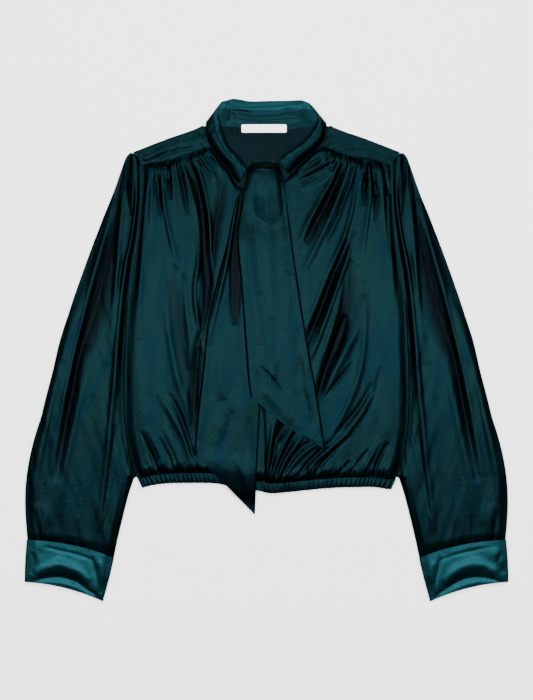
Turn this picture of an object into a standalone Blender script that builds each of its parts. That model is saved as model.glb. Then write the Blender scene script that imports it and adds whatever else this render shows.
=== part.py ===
"""Tie neck blouse of dark satin, laid flat on a surface with its front up.

Every size is in millimetres until a mesh is made. +X is the viewer's right, +Y points to the collar
and +Z is up. The origin lies on the surface, under the middle of the garment. Each piece is a wall of
cloth around a middle surface: rows run down the garment and columns run across it.
"""
import math

import bpy
import numpy as np
from mathutils import Vector
from mathutils.bvhtree import BVHTree

MM = 0.001

# Walls of cloth, and the gaps that keep the pieces apart
CLOTH = 1.2
DOUBLE_CLOTH = 1.8
SEAM_GAP = 0.6
LAYER_GAP = 0.4

# Heights of the middle surfaces above the surface that the garment lies on
BACK_LEVEL = CLOTH / 2
FRONT_LEVEL = CLOTH + LAYER_GAP + CLOTH / 2
SLEEVE_TOP_LEVEL = 2.9
YOKE_FRONT_LEVEL = 3.0
YOKE_CROWN = 0.8
CUFF_TOP_LEVEL = 3.8

# Side of the body and armhole on the left, down to the hem casing: height y, distance x from the middle
BODY_SIDE = (
    (280.5, 189.0),
    (274.6, 181.8),
    (262.8, 176.2),
    (227.5, 177.1),
    (192.3, 179.3),
    (166.3, 182.0),
    (121.6, 188.9),
    (74.6, 195.8),
    (15.6, 199.5),
    (-71.0, 201.6),
    (-108.0, 200.0),
    (-150.0, 193.0),
    (-182.0, 183.5),
)
ARMHOLE_CORNER = 262.8
ARMHOLE_X = 176.2
BACK_BOTTOM = -182.0

# Front yoke seam: distance x from the middle, height y
YOKE_SEAM = (
    (80.5, 288.5),
    (94.5, 284.0),
    (101.5, 281.0),
    (116.0, 276.5),
    (130.0, 271.0),
    (144.0, 267.0),
    (158.5, 265.5),
    (176.2, 263.0),
)
# Shoulder line of the yoke, from the collar to the tip: distance x from the middle, height y
SHOULDER_LINE = (
    (89.8, 319.0),
    (96.0, 316.0),
    (140.0, 300.0),
    (189.0, 281.0),
)
BACK_YOKE_SEAM = 213.0

# Back neckline: x, y
BACK_NECKLINE = (
    (-89.8, 317.0),
    (-63.0, 316.6),
    (-36.0, 315.0),
    (-3.5, 313.0),
    (29.0, 312.5),
    (63.0, 315.6),
    (89.8, 317.0),
)
# Front necklines, from the yoke seam down to the knot: x, y
LEFT_NECKLINE = (
    (-80.5, 288.5),
    (-77.5, 284.0),
    (-69.0, 272.5),
    (-54.5, 255.5),
    (-43.5, 236.0),
    (-30.0, 227.0),
    (14.0, 222.0),
)
RIGHT_NECKLINE = (
    (-8.0, 221.0),
    (10.0, 228.0),
    (24.0, 241.0),
    (36.0, 252.5),
    (54.5, 270.0),
    (73.0, 286.5),
    (80.5, 288.5),
)

# Lower edge of the gathered hem, from side to side: x, y
HEM_EDGE = (
    (-176.5, -195.5),
    (-155.5, -191.0),
    (-129.0, -189.0),
    (-98.0, -188.8),
    (-71.0, -189.8),
    (-57.0, -192.4),
    (-13.5, -199.8),
    (8.5, -203.4),
    (20.5, -202.6),
    (49.0, -200.0),
    (81.0, -196.8),
    (120.0, -195.0),
    (154.5, -195.0),
    (176.5, -198.2),
)
CASING_DEPTH = 14.0
CASING_BULGE = 0.8
GATHER_PITCH = 6.6
GATHER_RISE = 1.3
GATHER_SCALLOP = 0.7
HEM_CORNER = 176.5
HEM_TOP_CORNER = 183.0

# The left front passes under the right front along the centre
UNDERLAP_EDGE = 14.0
OVERLAP_EDGE = -7.5
OVERLAP_LIFT = 1.8

# Folds of a front panel. Their places are given at these shares of the way from yoke seam to hem.
FOLD_LEVELS = (0.0, 0.12, 0.3, 0.5, 0.75, 1.0)
# How much of its rise a fold has at those levels
FOLD_KINDS = {
    "long": (0.45, 0.9, 1.0, 1.0, 0.9, 0.35),
    "late": (0.35, 0.3, 0.6, 1.0, 1.0, 0.4),
    "gather": (0.8, 0.45, 0.0, 0.0, 0.15, 0.5),
    "plain": (0.0, 0.0, 0.0, 0.0, 0.0, 0.0),
}
# kind, rise, x at the yoke seam, high, upper, middle, low, x at the hem
LEFT_FOLDS = (
    ("long", 2.5, -168.5, -169.5, -177.0, -179.5, -181.0, -167.0),
    ("gather", 2.0, -161.0, -163.0, -168.0, -169.5, -169.5, -154.0),
    ("long", 3.5, -154.0, -155.5, -154.0, -144.0, -120.0, -94.5),
    ("gather", 2.0, -147.0, -149.5, -143.5, -132.0, -111.5, -84.5),
    ("long", 3.5, -140.0, -143.0, -128.5, -112.0, -98.5, -74.5),
    ("gather", 2.0, -133.0, -135.0, -121.5, -108.0, -91.5, -67.5),
    ("gather", 2.0, -125.5, -125.5, -114.5, -104.0, -84.5, -60.5),
    ("gather", 2.0, -118.5, -114.5, -106.0, -99.5, -79.0, -53.0),
    ("long", 5.5, -113.0, -104.5, -97.5, -94.5, -73.0, -47.5),
    ("gather", 1.6, -106.0, -96.0, -90.0, -86.5, -64.5, -40.5),
    ("long", 4.5, -98.5, -89.0, -81.0, -77.5, -54.5, -33.5),
    ("gather", 2.4, -90.0, -76.0, -67.5, -63.0, -43.5, -25.0),
    ("plain", 0.0, -80.5, -63.0, -52.0, -46.0, -32.0, -19.0),
    ("plain", 0.0, -69.0, -50.0, -39.0, -34.0, -22.0, -13.0),
    ("plain", 0.0, -56.0, -37.0, -27.0, -22.0, -13.0, -7.0),
    ("plain", 0.0, -43.5, -22.0, -13.0, -9.0, -4.0, 0.0),
    ("plain", 0.0, -30.0, -4.0, 2.0, 3.0, 5.0, 7.0),
)
RIGHT_FOLDS = (
    ("plain", 0.0, 10.0, 2.0, 0.0, -2.0, -4.0, -5.0),
    ("plain", 0.0, 24.0, 8.0, 4.0, 1.0, -2.0, -3.5),
    ("plain", 0.0, 36.0, 14.0, 7.5, 4.0, 0.0, -2.0),
    ("plain", 0.0, 54.5, 20.0, 11.0, 7.0, 2.0, -0.5),
    ("gather", 2.0, 76.0, 31.0, 16.0, 10.5, 4.0, 1.0),
    ("gather", 2.2, 84.5, 45.0, 25.0, 16.0, 6.5, 3.0),
    ("gather", 2.2, 93.0, 64.5, 34.5, 22.0, 9.5, 5.0),
    ("long", 3.5, 100.0, 84.5, 46.0, 30.0, 13.5, 7.5),
    ("gather", 2.2, 110.0, 101.5, 69.0, 45.0, 20.5, 10.5),
    ("long", 4.5, 120.0, 119.0, 98.5, 63.0, 30.5, 15.0),
    ("long", 4.0, 128.5, 129.0, 114.5, 86.0, 47.5, 20.5),
    ("late", 5.0, 137.0, 138.0, 128.5, 114.5, 81.5, 32.0),
    ("long", 3.5, 145.5, 146.5, 138.5, 132.5, 118.5, 47.5),
    ("gather", 2.0, 152.5, 153.5, 148.5, 146.0, 133.0, 67.5),
    ("gather", 2.0, 160.0, 161.0, 158.5, 159.0, 147.0, 89.0),
    ("gather", 2.0, 165.5, 167.0, 167.0, 169.5, 160.0, 110.0),
    ("late", 2.5, 170.5, 171.5, 175.5, 179.5, 172.5, 131.5),
    ("gather", 1.6, 174.0, 175.0, 182.5, 188.0, 186.0, 151.0),
)
FRONT_ROWS = (0.0, 0.02, 0.05, 0.09, 0.14, 0.2, 0.28, 0.36, 0.44, 0.52, 0.6, 0.68, 0.76, 0.84, 0.91, 0.96, 1.0)
FRONT_PUFF = 1.2

# Rows of the left sleeve from the shoulder to the cuff seam.
# outer edge x and y, inner edge y, and how far the row bows towards the shoulder
SLEEVE_ROWS = (
    (-193.0, 279.8, 278.8, 0.0),
    (-196.0, 277.5, 274.6, 0.0),
    (-200.0, 271.5, 269.0, 0.0),
    (-203.0, 263.5, 262.8, 0.0),
    (-208.0, 249.0, 248.0, 0.0),
    (-215.5, 227.5, 227.0, 0.0),
    (-229.5, 193.0, 193.0, 0.0),
    (-243.5, 157.0, 157.0, 0.0),
    (-256.5, 122.0, 122.0, 0.0),
    (-266.5, 94.0, 95.0, 0.0),
    (-273.5, 74.0, 74.6, 0.0),
    (-281.0, 51.0, 51.0, 0.0),
    (-292.5, 15.5, 16.0, 0.0),
    (-304.0, -32.5, -30.0, 0.0),
    (-314.0, -71.0, -68.0, 0.0),
    (-320.5, -97.0, -95.0, 0.0),
    (-327.0, -117.0, -118.0, 0.0),
    (-333.0, -139.0, -144.0, 0.0),
    (-340.0, -176.0, -182.0, 1.0),
    (-342.5, -216.5, -221.5, 2.0),
    (-341.3, -244.0, -258.5, 4.0),
    (-339.0, -270.5, -295.5, 6.0),
)
SLEEVE_CLOSED_FROM = 10
# Inner edge of the sleeve below the body: height y, distance x from the middle
SLEEVE_INNER = (
    (-182.0, 188.5),
    (-201.0, 194.7),
    (-234.0, 203.3),
    (-271.0, 212.1),
    (-296.0, 217.3),
)
# Folds of a sleeve. Their places across it, from outer 0 to inner 1, at these shares of its length
SLEEVE_LEVELS = (0.0, 0.15, 0.35, 0.52, 0.7, 0.85, 1.0)
SLEEVE_FOLDS = (
    (0.06, 0.06, 0.05, 0.05, 0.09, 0.08, 0.08),
    (0.2, 0.16, 0.25, 0.25, 0.27, 0.2, 0.2),
    (0.4, 0.42, 0.5, 0.44, 0.42, 0.38, 0.36),
    (0.6, 0.6, 0.7, 0.78, 0.75, 0.69, 0.6),
    (0.8, 0.84, 0.9, 0.89, 0.86, 0.84, 0.81),
)
# Rise of the same folds at the same levels
SLEEVE_RISES = (
    (0.3, 1.2, 1.5, 1.5, 2.0, 2.2, 1.0),
    (0.5, 2.6, 3.6, 3.6, 3.6, 3.0, 1.2),
    (0.3, 0.8, 1.0, 2.6, 4.0, 4.2, 1.6),
    (0.5, 2.8, 4.2, 4.0, 3.2, 2.6, 1.2),
    (0.3, 2.0, 3.2, 2.8, 2.2, 1.8, 0.9),
)
SLEEVE_TOP_Y = 280.0
SLEEVE_LENGTH = 563.0

# Cuff, from the seam to its lower edge: outer x and y, inner x and y, bow
CUFF_ROWS = (
    (-339.8, -271.2, -217.0, -296.3, 6.0),
    (-341.5, -290.0, -221.5, -315.0, 6.0),
    (-342.5, -309.0, -227.0, -336.0, 5.5),
    (-342.9, -329.0, -232.7, -356.7, 5.0),
)
CUFF_CROWN = 3.0
CUFF_FRONT_SHORT = 2.0

# Neckband as it lies, from its left front end round the back to its right front end.
# seam x, y, z, free edge x, y, z, arch of the band between them, and its distance from the seam
COLLAR_SECTIONS = (
    (-40.5, 235.0, 4.6, -27.5, 258.5, 6.0, 3.5, 1.6),
    (-47.5, 244.0, 4.2, -33.5, 266.5, 6.2, 4.0, 1.6),
    (-54.5, 255.5, 4.0, -39.5, 274.0, 6.4, 4.5, 1.6),
    (-63.0, 265.5, 3.8, -46.5, 281.5, 6.4, 5.0, 1.6),
    (-69.0, 272.5, 3.8, -53.0, 288.5, 6.4, 5.0, 1.6),
    (-79.0, 287.0, 3.8, -58.5, 299.5, 6.2, 5.0, 1.6),
    (-84.5, 298.0, 3.8, -63.0, 312.5, 6.0, 4.5, 1.6),
    (-86.5, 310.0, 4.4, -67.0, 328.5, 5.8, 3.0, 1.6),
    (-86.6, 319.0, 4.8, -69.0, 342.0, 5.4, 1.2, 1.4),
    (-85.6, 323.0, 2.8, -64.0, 351.6, 3.0, 0.2, 0.8),
    (-75.5, 318.0, 0.9, -57.0, 354.2, 0.9, 0.0, 0.6),
    (-63.0, 317.0, 0.9, -49.5, 356.6, 0.9, 0.0, 0.6),
    (-36.0, 315.0, 0.9, -23.5, 353.2, 0.9, 0.0, 0.6),
    (-3.5, 313.0, 0.9, 2.0, 353.6, 0.9, 0.0, 0.6),
    (29.0, 312.5, 0.9, 29.0, 353.8, 0.9, 0.0, 0.6),
    (63.0, 316.0, 0.9, 52.5, 354.0, 0.9, 0.0, 0.6),
    (73.0, 316.9, 0.9, 57.5, 352.0, 0.9, 0.0, 0.6),
    (84.0, 322.0, 2.8, 63.0, 348.0, 3.0, 0.2, 0.6),
    (85.5, 318.0, 4.8, 69.5, 339.5, 5.4, 1.2, 1.2),
    (84.5, 311.0, 4.4, 73.0, 329.0, 5.8, 3.0, 1.6),
    (83.0, 300.5, 3.8, 68.0, 318.0, 6.0, 4.5, 1.6),
    (76.0, 289.5, 3.8, 60.0, 305.0, 6.2, 5.0, 1.6),
    (66.0, 280.0, 3.8, 51.0, 295.0, 6.4, 5.0, 1.6),
    (54.5, 270.0, 3.8, 38.0, 286.0, 6.4, 5.0, 1.6),
    (43.5, 260.0, 4.0, 26.0, 278.0, 6.4, 4.5, 1.6),
    (32.0, 249.5, 4.6, 17.5, 270.0, 6.0, 3.5, 1.6),
)
COLLAR_SHARES = (0.0, 0.18, 0.4, 0.62, 0.83, 1.0)

# Knot: a short flattened wrap. middle x, y, half width, height above its rest
KNOT_ROWS = (
    (-5.0, 261.0, 15.0, 6.0),
    (-5.0, 254.0, 17.5, 7.6),
    (-4.5, 245.0, 18.5, 8.0),
    (-4.0, 236.0, 18.0, 7.4),
    (-4.0, 229.0, 16.5, 6.0),
)
KNOT_SIDES = 14

# Ties, a row for each section: left edge x and y, right edge x and y
TIE_UNDER_ROWS = (
    (-38.5, 228.0, -24.0, 221.0),
    (-42.5, 213.0, -20.0, 206.0),
    (-49.0, 184.5, -14.5, 178.0),
    (-54.5, 156.0, -12.0, 150.0),
    (-66.0, 113.5, -10.5, 108.0),
    (-76.0, 71.0, -9.0, 66.0),
    (-84.5, 28.5, -8.5, 24.0),
    (-88.5, -14.0, -8.5, -18.0),
    (-91.0, -39.0, -9.0, -46.0),
    (-94.5, -66.0, -9.5, -74.0),
    (-97.5, -92.0, -10.5, -104.0),
    (-99.5, -113.0, -12.0, -130.0),
    (-100.5, -127.0, -13.5, -158.0),
    (-101.0, -138.5, -15.0, -190.0),
    (-100.0, -148.0, -16.8, -233.5),
)
TIE_UPPER_ROWS = (
    (-15.0, 264.0, 9.0, 263.0),
    (-16.5, 269.0, 11.0, 268.0),
    (-21.0, 264.0, 16.0, 263.5),
    (-26.0, 255.0, 20.0, 255.0),
    (-29.0, 241.5, 23.5, 240.0),
    (-32.0, 227.0, 26.0, 225.0),
    (-36.0, 199.0, 30.0, 197.0),
    (-41.0, 170.5, 34.0, 168.0),
    (-40.5, 149.0, 36.5, 146.0),
    (-38.5, 125.0, 40.0, 122.0),
    (-36.0, 99.5, 44.0, 97.0),
    (-34.0, 71.0, 48.0, 69.0),
    (-32.0, 42.5, 52.5, 40.0),
    (-30.5, 21.0, 56.0, 18.0),
    (-29.0, 0.0, 60.0, -4.0),
    (-27.5, -21.0, 64.0, -26.0),
    (-26.0, -37.0, 68.0, -46.0),
    (-24.8, -48.0, 71.5, -67.0),
    (-23.8, -56.0, 75.5, -92.0),
    (-23.2, -61.0, 79.5, -117.0),
    (-22.7, -64.5, 82.8, -140.3),
)
TIE_SHARES = (0.0, 0.1, 0.26, 0.42, 0.58, 0.74, 0.9, 1.0)
# Height above its rest of the under tie's lit left edge fold, and how far down it goes
TIE_FOLD_RISE = 4.0
TIE_FOLD_END = 40.0
# The upper tie's first rows climb from behind the knot over its top: height of the middle surface
TIE_HUMP_START = (9.5, 12.5)
TIE_TIP_CURL = 3.0

# Woven label over the back neckline: left, right, bottom, top, thickness
LABEL = (-35.5, 28.5, 308.5, 320.0, 1.0)

SATIN = (0.010, 0.062, 0.072)
SATIN_INSIDE = (0.018, 0.105, 0.115)
LABEL_WHITE = (0.83, 0.83, 0.80)


# Solids made so far, for pieces that rest on them, and the spacing of the places that are looked at
SOLIDS = {}
SAMPLE_STEP = 2.4


def clear_scene():
    """Remove whatever the scene held before."""
    for found in list(bpy.data.objects):
        bpy.data.objects.remove(found, do_unlink=True)


def make_material(name, colour, roughness, metallic):
    """One Principled BSDF with the piece's colour."""
    material = bpy.data.materials.new(name)
    material.use_nodes = True
    shader = material.node_tree.nodes["Principled BSDF"]
    shader.inputs["Base Color"].default_value = (*colour, 1.0)
    shader.inputs["Roughness"].default_value = roughness
    shader.inputs["Metallic"].default_value = metallic
    return material


def smooth_value(levels, values, place):
    """Value at a place on a smooth curve through the given values at rising levels."""
    levels = np.asarray(levels, dtype=float)
    values = np.asarray(values, dtype=float)
    place = min(max(place, levels[0]), levels[-1])
    slopes = np.gradient(values, levels)
    first = int(np.clip(np.searchsorted(levels, place) - 1, 0, len(levels) - 2))
    span = levels[first + 1] - levels[first]
    share = (place - levels[first]) / span
    start = (1 + 2 * share) * (1 - share) ** 2 * values[first]
    start_slope = share * (1 - share) ** 2 * span * slopes[first]
    end = share ** 2 * (3 - 2 * share) * values[first + 1]
    end_slope = share ** 2 * (share - 1) * span * slopes[first + 1]
    return float(start + start_slope + end + end_slope)


def table_value(table, place):
    """Second column of a table at a place in its first column, rising or falling."""
    rows = sorted(table)
    return smooth_value([row[0] for row in rows], [row[1] for row in rows], place)


def straight_value(table, place):
    """The same on straight lines between the rows of the table."""
    rows = sorted(table)
    return float(np.interp(place, [row[0] for row in rows], [row[1] for row in rows]))


def side_x(y):
    """Distance from the middle to the body's side or armhole at a height."""
    if y > ARMHOLE_CORNER:
        return straight_value(BODY_SIDE, y)
    return table_value([row for row in BODY_SIDE if row[0] <= ARMHOLE_CORNER], y)


def soft_step(value):
    """Smooth step from 0 to 1."""
    value = min(max(value, 0.0), 1.0)
    return value * value * (3 - 2 * value)


def hem_seam_y(x):
    """Height of the seam between the panels and the hem casing."""
    return table_value(HEM_EDGE, x) + CASING_DEPTH


class Surface:
    """The middle surface of a piece: points in rows, and the cells between them."""

    def __init__(self, rows, absent=None, joined_from=None):
        self.rows = np.asarray(rows, dtype=float)
        self.row_count, self.column_count = self.rows.shape[:2]
        self.absent = absent
        self.joined_from = joined_from

    def cells(self):
        """Corner numbers of each cell, turned so that its outer side faces out."""
        width = self.column_count
        found = []
        for row in range(self.row_count - 1):
            for column in range(width - 1):
                if self.absent is not None and self.absent(row, column):
                    continue
                first = row * width + column
                found.append((first, first + width, first + width + 1, first + 1))
            if self.joined_from is not None and row >= self.joined_from:
                last = row * width + width - 1
                start = row * width
                found.append((last, last + width, start + width, start))
        return found

    def mirrored(self):
        """The same surface on the other side of the middle."""
        rows = self.rows[:, ::-1].copy()
        rows[:, :, 0] *= -1
        return Surface(rows, self.absent, self.joined_from)


def wall(name, surface, thickness, material, upright=False):
    """Closed wall of cloth around a surface, half to each side, square to it or straight up."""
    points = surface.rows.reshape(-1, 3)
    cells = surface.cells()
    normals = np.zeros_like(points)
    for cell in cells:
        across = np.cross(points[cell[2]] - points[cell[0]], points[cell[3]] - points[cell[1]])
        for corner in cell:
            normals[corner] += across / max(np.linalg.norm(across), 1e-9)
    used = sorted({corner for cell in cells for corner in cell})
    number = {corner: index for index, corner in enumerate(used)}
    half = thickness / 2
    outer = []
    inner = []
    for corner in used:
        normal = normals[corner] / np.linalg.norm(normals[corner])
        if upright:
            step = np.array((0.0, 0.0, half / max(normal[2], 0.5)))
        else:
            step = normal * half
        outer.append(points[corner] + step)
        inner.append(points[corner] - step)
    count = len(used)
    faces = []
    edges = {}
    for cell in cells:
        a, b, c, d = (number[corner] for corner in cell)
        faces.append((a, b, c))
        faces.append((a, c, d))
        faces.append((a + count, c + count, b + count))
        faces.append((a + count, d + count, c + count))
        for start, end in ((a, b), (b, c), (c, d), (d, a)):
            edges[(start, end)] = True
    for start, end in edges:
        if (end, start) not in edges:
            faces.append((end, start, start + count))
            faces.append((end, start + count, end + count))
    return make_object(name, np.array(outer + inner), faces, material)


def make_object(name, points, faces, material):
    """Mesh object of a closed solid, from points in millimetres."""
    mesh = bpy.data.meshes.new(name)
    mesh.from_pydata([tuple(point * MM) for point in points], [], faces)
    mesh.materials.append(material)
    mesh.shade_smooth()
    mesh.set_sharp_from_angle(angle=math.radians(40))
    made = bpy.data.objects.new(name, mesh)
    bpy.context.scene.collection.objects.link(made)
    SOLIDS[name] = BVHTree.FromPolygons([Vector(point) for point in points], faces)
    return made


def rest_height(x, y, reach, names, floor=0.0):
    """Highest point of the named solids within reach of a place."""
    highest = floor
    steps = int(math.ceil(reach / SAMPLE_STEP))
    for right in range(-steps, steps + 1):
        for up in range(-steps, steps + 1):
            offset_x = right * SAMPLE_STEP
            offset_y = up * SAMPLE_STEP
            if math.hypot(offset_x, offset_y) > reach:
                continue
            origin = Vector((x + offset_x, y + offset_y, 500.0))
            for name in names:
                hit = SOLIDS[name].ray_cast(origin, Vector((0.0, 0.0, -1.0)))[0]
                if hit is not None:
                    highest = max(highest, hit.z)
    return highest


def fold_columns(folds, side_places, centre_places):
    """Places and rises of all columns of a panel at the fold levels, from left to right.

    A ridge stands on each fold, and a valley lies halfway between two folds that rise.
    """
    columns = [(side_places, (0.0,) * len(FOLD_LEVELS))]
    rises_before = False
    for kind, rise, *places in folds:
        rises_here = rise > 0
        if rises_here and rises_before:
            before = columns[-1][0]
            valley = tuple((left + right) / 2 for left, right in zip(before, places))
            columns.append((valley, (0.0,) * len(FOLD_LEVELS)))
        columns.append((tuple(places), tuple(rise * share for share in FOLD_KINDS[kind])))
        rises_before = rises_here
    columns.append((centre_places, (0.0,) * len(FOLD_LEVELS)))
    return columns


def front_surface(columns, top_y, outline_x, base_level):
    """Middle surface of a front panel with its folds."""
    rows = []
    for level in FRONT_ROWS:
        row = []
        for index, (places, rises) in enumerate(columns):
            top = top_y(places[0])
            bottom = hem_seam_y(places[-1])
            y = top + level * (bottom - top)
            x = outline_x(index, y, smooth_value(FOLD_LEVELS, places, level))
            rise = max(smooth_value(FOLD_LEVELS, rises, level), 0.0)
            inside = soft_step((side_x(y) - abs(x)) / 40.0)
            puff = FRONT_PUFF * inside * math.sin(math.pi * min(level * 1.1, 1.0))
            row.append((x, y, base_level(x) + rise + puff))
        rows.append(row)
    return Surface(rows)


def front_top_y(neckline):
    """Upper edge of a front panel: the yoke seam, then the neckline."""
    def height(x):
        if abs(x) >= YOKE_SEAM[0][0] and x * neckline[3][0] > 0:
            return table_value(YOKE_SEAM, abs(x)) - SEAM_GAP
        return straight_value(neckline, x) - SEAM_GAP
    return height


def overlap_base(x):
    """Level of the right front, which climbs over the underlap of the left front."""
    return FRONT_LEVEL + OVERLAP_LIFT * soft_step((34.0 - x) / 14.0)


def build_fronts(material):
    """Both front panels, gathered into the yoke seam and drawn in at the hem."""
    side = tuple(-side_x(0.0) for _ in FOLD_LEVELS)
    side = (-ARMHOLE_X,) + side[1:-1] + (-HEM_TOP_CORNER,)
    underlap = (UNDERLAP_EDGE,) * len(FOLD_LEVELS)
    columns = fold_columns(LEFT_FOLDS, side, underlap)

    def left_outline(index, y, x):
        if index == 0:
            return -side_x(y)
        return max(x, -side_x(y) + 1.5 * index)

    left = front_surface(columns, front_top_y(LEFT_NECKLINE), left_outline, lambda x: FRONT_LEVEL)
    wall("front_left", left, CLOTH, material, upright=True)

    side = tuple(-place for place in side)
    overlap = (OVERLAP_EDGE,) * len(FOLD_LEVELS)
    columns = fold_columns(RIGHT_FOLDS, overlap, side)
    last = len(columns) - 1

    def right_outline(index, y, x):
        if index == last:
            return side_x(y)
        return min(x, side_x(y) - 1.5 * (last - index))

    right = front_surface(columns, front_top_y(RIGHT_NECKLINE), right_outline, overlap_base)
    wall("front_right", right, CLOTH, material, upright=True)


def build_back(material):
    """The back panel, flat on the surface."""
    rows = []
    row_count = 16
    top = BACK_YOKE_SEAM - SEAM_GAP
    bottom = BACK_BOTTOM
    for index in range(row_count + 1):
        y = top + (bottom - top) * index / row_count
        half_width = side_x(y)
        rows.append([(half_width * share / 4, y, BACK_LEVEL) for share in range(-4, 5)])
    wall("back", Surface(rows), CLOTH, material)


def build_yoke(material):
    """One piece: flat behind the neck, folded over both shoulders, down to the front yoke seams."""
    shoulder_shares = (0.0, 0.08, 0.2, 0.34, 0.48, 0.62, 0.76, 0.89, 1.0)
    neck_shares = (0.08, 0.2, 0.35, 0.5, 0.65, 0.8, 0.92)
    back_shares = (1.0, 0.62, 0.254, 0.078, 0.0)
    front_shares = (0.06, 0.31, 0.65, 1.0)
    inset = CLOTH
    half = CLOTH / 2
    tip_x = SHOULDER_LINE[-1][0]
    collar_x = SHOULDER_LINE[0][0]

    def shoulder_column(share, mirror):
        """One column over the shoulder, from the back yoke seam to the front yoke seam."""
        across = tip_x + (collar_x - tip_x) * share
        line_y = table_value(SHOULDER_LINE, across)
        seam_across = YOKE_SEAM[-1][0] + (YOKE_SEAM[0][0] - YOKE_SEAM[-1][0]) * share
        seam_y = table_value(YOKE_SEAM, seam_across)
        tip_y = SHOULDER_LINE[-1][1] - inset
        column = []
        for way in back_shares:
            y = line_y - inset + (BACK_YOKE_SEAM - line_y + inset) * way
            edge_x = side_x(tip_y + (BACK_YOKE_SEAM - tip_y) * way)
            column.append((mirror * (edge_x + (collar_x - edge_x) * share), y, BACK_LEVEL))
        column.append((mirror * across, line_y - half, (BACK_LEVEL + YOKE_FRONT_LEVEL) / 2))
        for way in front_shares:
            y = line_y - inset + (seam_y - line_y + inset) * way
            edge_x = side_x(tip_y + (YOKE_SEAM[-1][1] - tip_y) * way)
            neck_x = collar_x + (YOKE_SEAM[0][0] - collar_x) * way
            crown = YOKE_CROWN * math.sin(math.pi * way)
            column.append((mirror * (edge_x + (neck_x - edge_x) * share), y, YOKE_FRONT_LEVEL + crown))
        return column

    columns = [shoulder_column(share, -1) for share in shoulder_shares]
    neck_start = len(columns) - 1
    for share in neck_shares:
        x = -collar_x + 2 * collar_x * share
        top = table_value(BACK_NECKLINE, x)
        column = [(x, top + (BACK_YOKE_SEAM - top) * way, BACK_LEVEL) for way in back_shares]
        column += [column[-1]] * (1 + len(front_shares))
        columns.append(column)
    neck_end = len(columns)
    columns += [shoulder_column(share, 1) for share in reversed(shoulder_shares)]
    rows = np.array(columns).transpose(1, 0, 2)

    def open_neck(row, column):
        return neck_start <= column < neck_end and row >= len(back_shares) - 1

    wall("yoke", Surface(rows, absent=open_neck), CLOTH, material)


def flat_tube_row(outer, inner, bow, low, insets, top_points, top_level):
    """One row around a flattened tube, from its inner edge below to its inner edge above.

    insets are the widths of the rounded folds at the outer and the inner edge; 0 leaves an open edge.
    """
    outer = np.array(outer)
    inner = np.array(inner)
    width = np.linalg.norm(inner - outer)
    along = (inner - outer) / width
    upward = np.array((-along[1], along[0]))
    if upward[1] < 0:
        upward = -upward

    def place(distance, height):
        share = distance / width
        spot = outer + along * distance + upward * bow * 4 * share * (1 - share)
        return (spot[0], spot[1], height)

    outer_inset, inner_inset = insets
    first = outer_inset
    last = width - inner_inset
    row = [place(last + (first - last) * share, low) for share in (0.0, 0.25, 0.5, 0.75, 1.0)]
    row.append(place(outer_inset / 2, (low + top_level) / 2))
    row.append(place(first, top_level))
    for share, rise in top_points:
        row.append(place(first + (last - first) * share, top_level + rise))
    row.append(place(last, top_level))
    row.append(place(width - inner_inset / 2, (low + top_level) / 2))
    return row


def sleeve_inner_x(y):
    """Distance from the middle to the inner edge of a sleeve."""
    if y >= SLEEVE_INNER[0][0] + 1.0:
        return side_x(y) + SEAM_GAP
    return table_value(SLEEVE_INNER, y)


def build_sleeves(material):
    """Left sleeve as a flattened tube, open along the armhole, and its mirror image."""
    rows = []
    for index, (outer_x, outer_y, inner_y, bow) in enumerate(SLEEVE_ROWS):
        inner = (-sleeve_inner_x(inner_y), inner_y)
        outer = (outer_x, outer_y)
        level = (SLEEVE_TOP_Y - (outer_y + inner_y) / 2) / SLEEVE_LENGTH
        places = [smooth_value(SLEEVE_LEVELS, fold, level) for fold in SLEEVE_FOLDS]
        rises = [smooth_value(SLEEVE_LEVELS, rise, level) for rise in SLEEVE_RISES]
        top_points = []
        for number, place in enumerate(places):
            if number > 0:
                top_points.append(((places[number - 1] + place) / 2, 0.0))
            top_points.append((place, rises[number]))
        inner_inset = CLOTH if index >= SLEEVE_CLOSED_FROM else 0.0
        insets = (CLOTH, inner_inset)
        rows.append(flat_tube_row(outer, inner, bow, CLOTH / 2, insets, top_points, SLEEVE_TOP_LEVEL))
    last_column = len(rows[0]) - 2

    def open_armhole(row, column):
        return row < SLEEVE_CLOSED_FROM and column >= last_column

    left = Surface(rows, absent=open_armhole, joined_from=SLEEVE_CLOSED_FROM)
    wall("sleeve_left", left, CLOTH, material)
    right = left.mirrored()
    right.absent = lambda row, column: row < SLEEVE_CLOSED_FROM and column == 0
    wall("sleeve_right", right, CLOTH, material)


def build_cuffs(material):
    """Left cuff, a flattened tube of double cloth, and its mirror image."""
    rows = []
    shares = (0.12, 0.28, 0.44, 0.6, 0.76, 0.9)
    for index, (outer_x, outer_y, inner_x, inner_y, bow) in enumerate(CUFF_ROWS):
        crown = CUFF_CROWN * (1.0 - 0.15 * index)
        points = [(share, crown * math.sin(math.pi * share) ** 0.8) for share in shares]
        insets = (DOUBLE_CLOTH, DOUBLE_CLOTH)
        row = flat_tube_row((outer_x, outer_y), (inner_x, inner_y), bow, DOUBLE_CLOTH / 2,
                            insets, points, CUFF_TOP_LEVEL)
        if index == len(CUFF_ROWS) - 1:
            start = len(row) - len(points) - 2
            for number, share in enumerate(shares):
                x, y, z = row[start + number]
                row[start + number] = (x, y + CUFF_FRONT_SHORT * share, z)
        rows.append(row)
    left = Surface(rows, joined_from=0)
    wall("cuff_left", left, DOUBLE_CLOTH, material)
    wall("cuff_right", left.mirrored(), DOUBLE_CLOTH, material)


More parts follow.
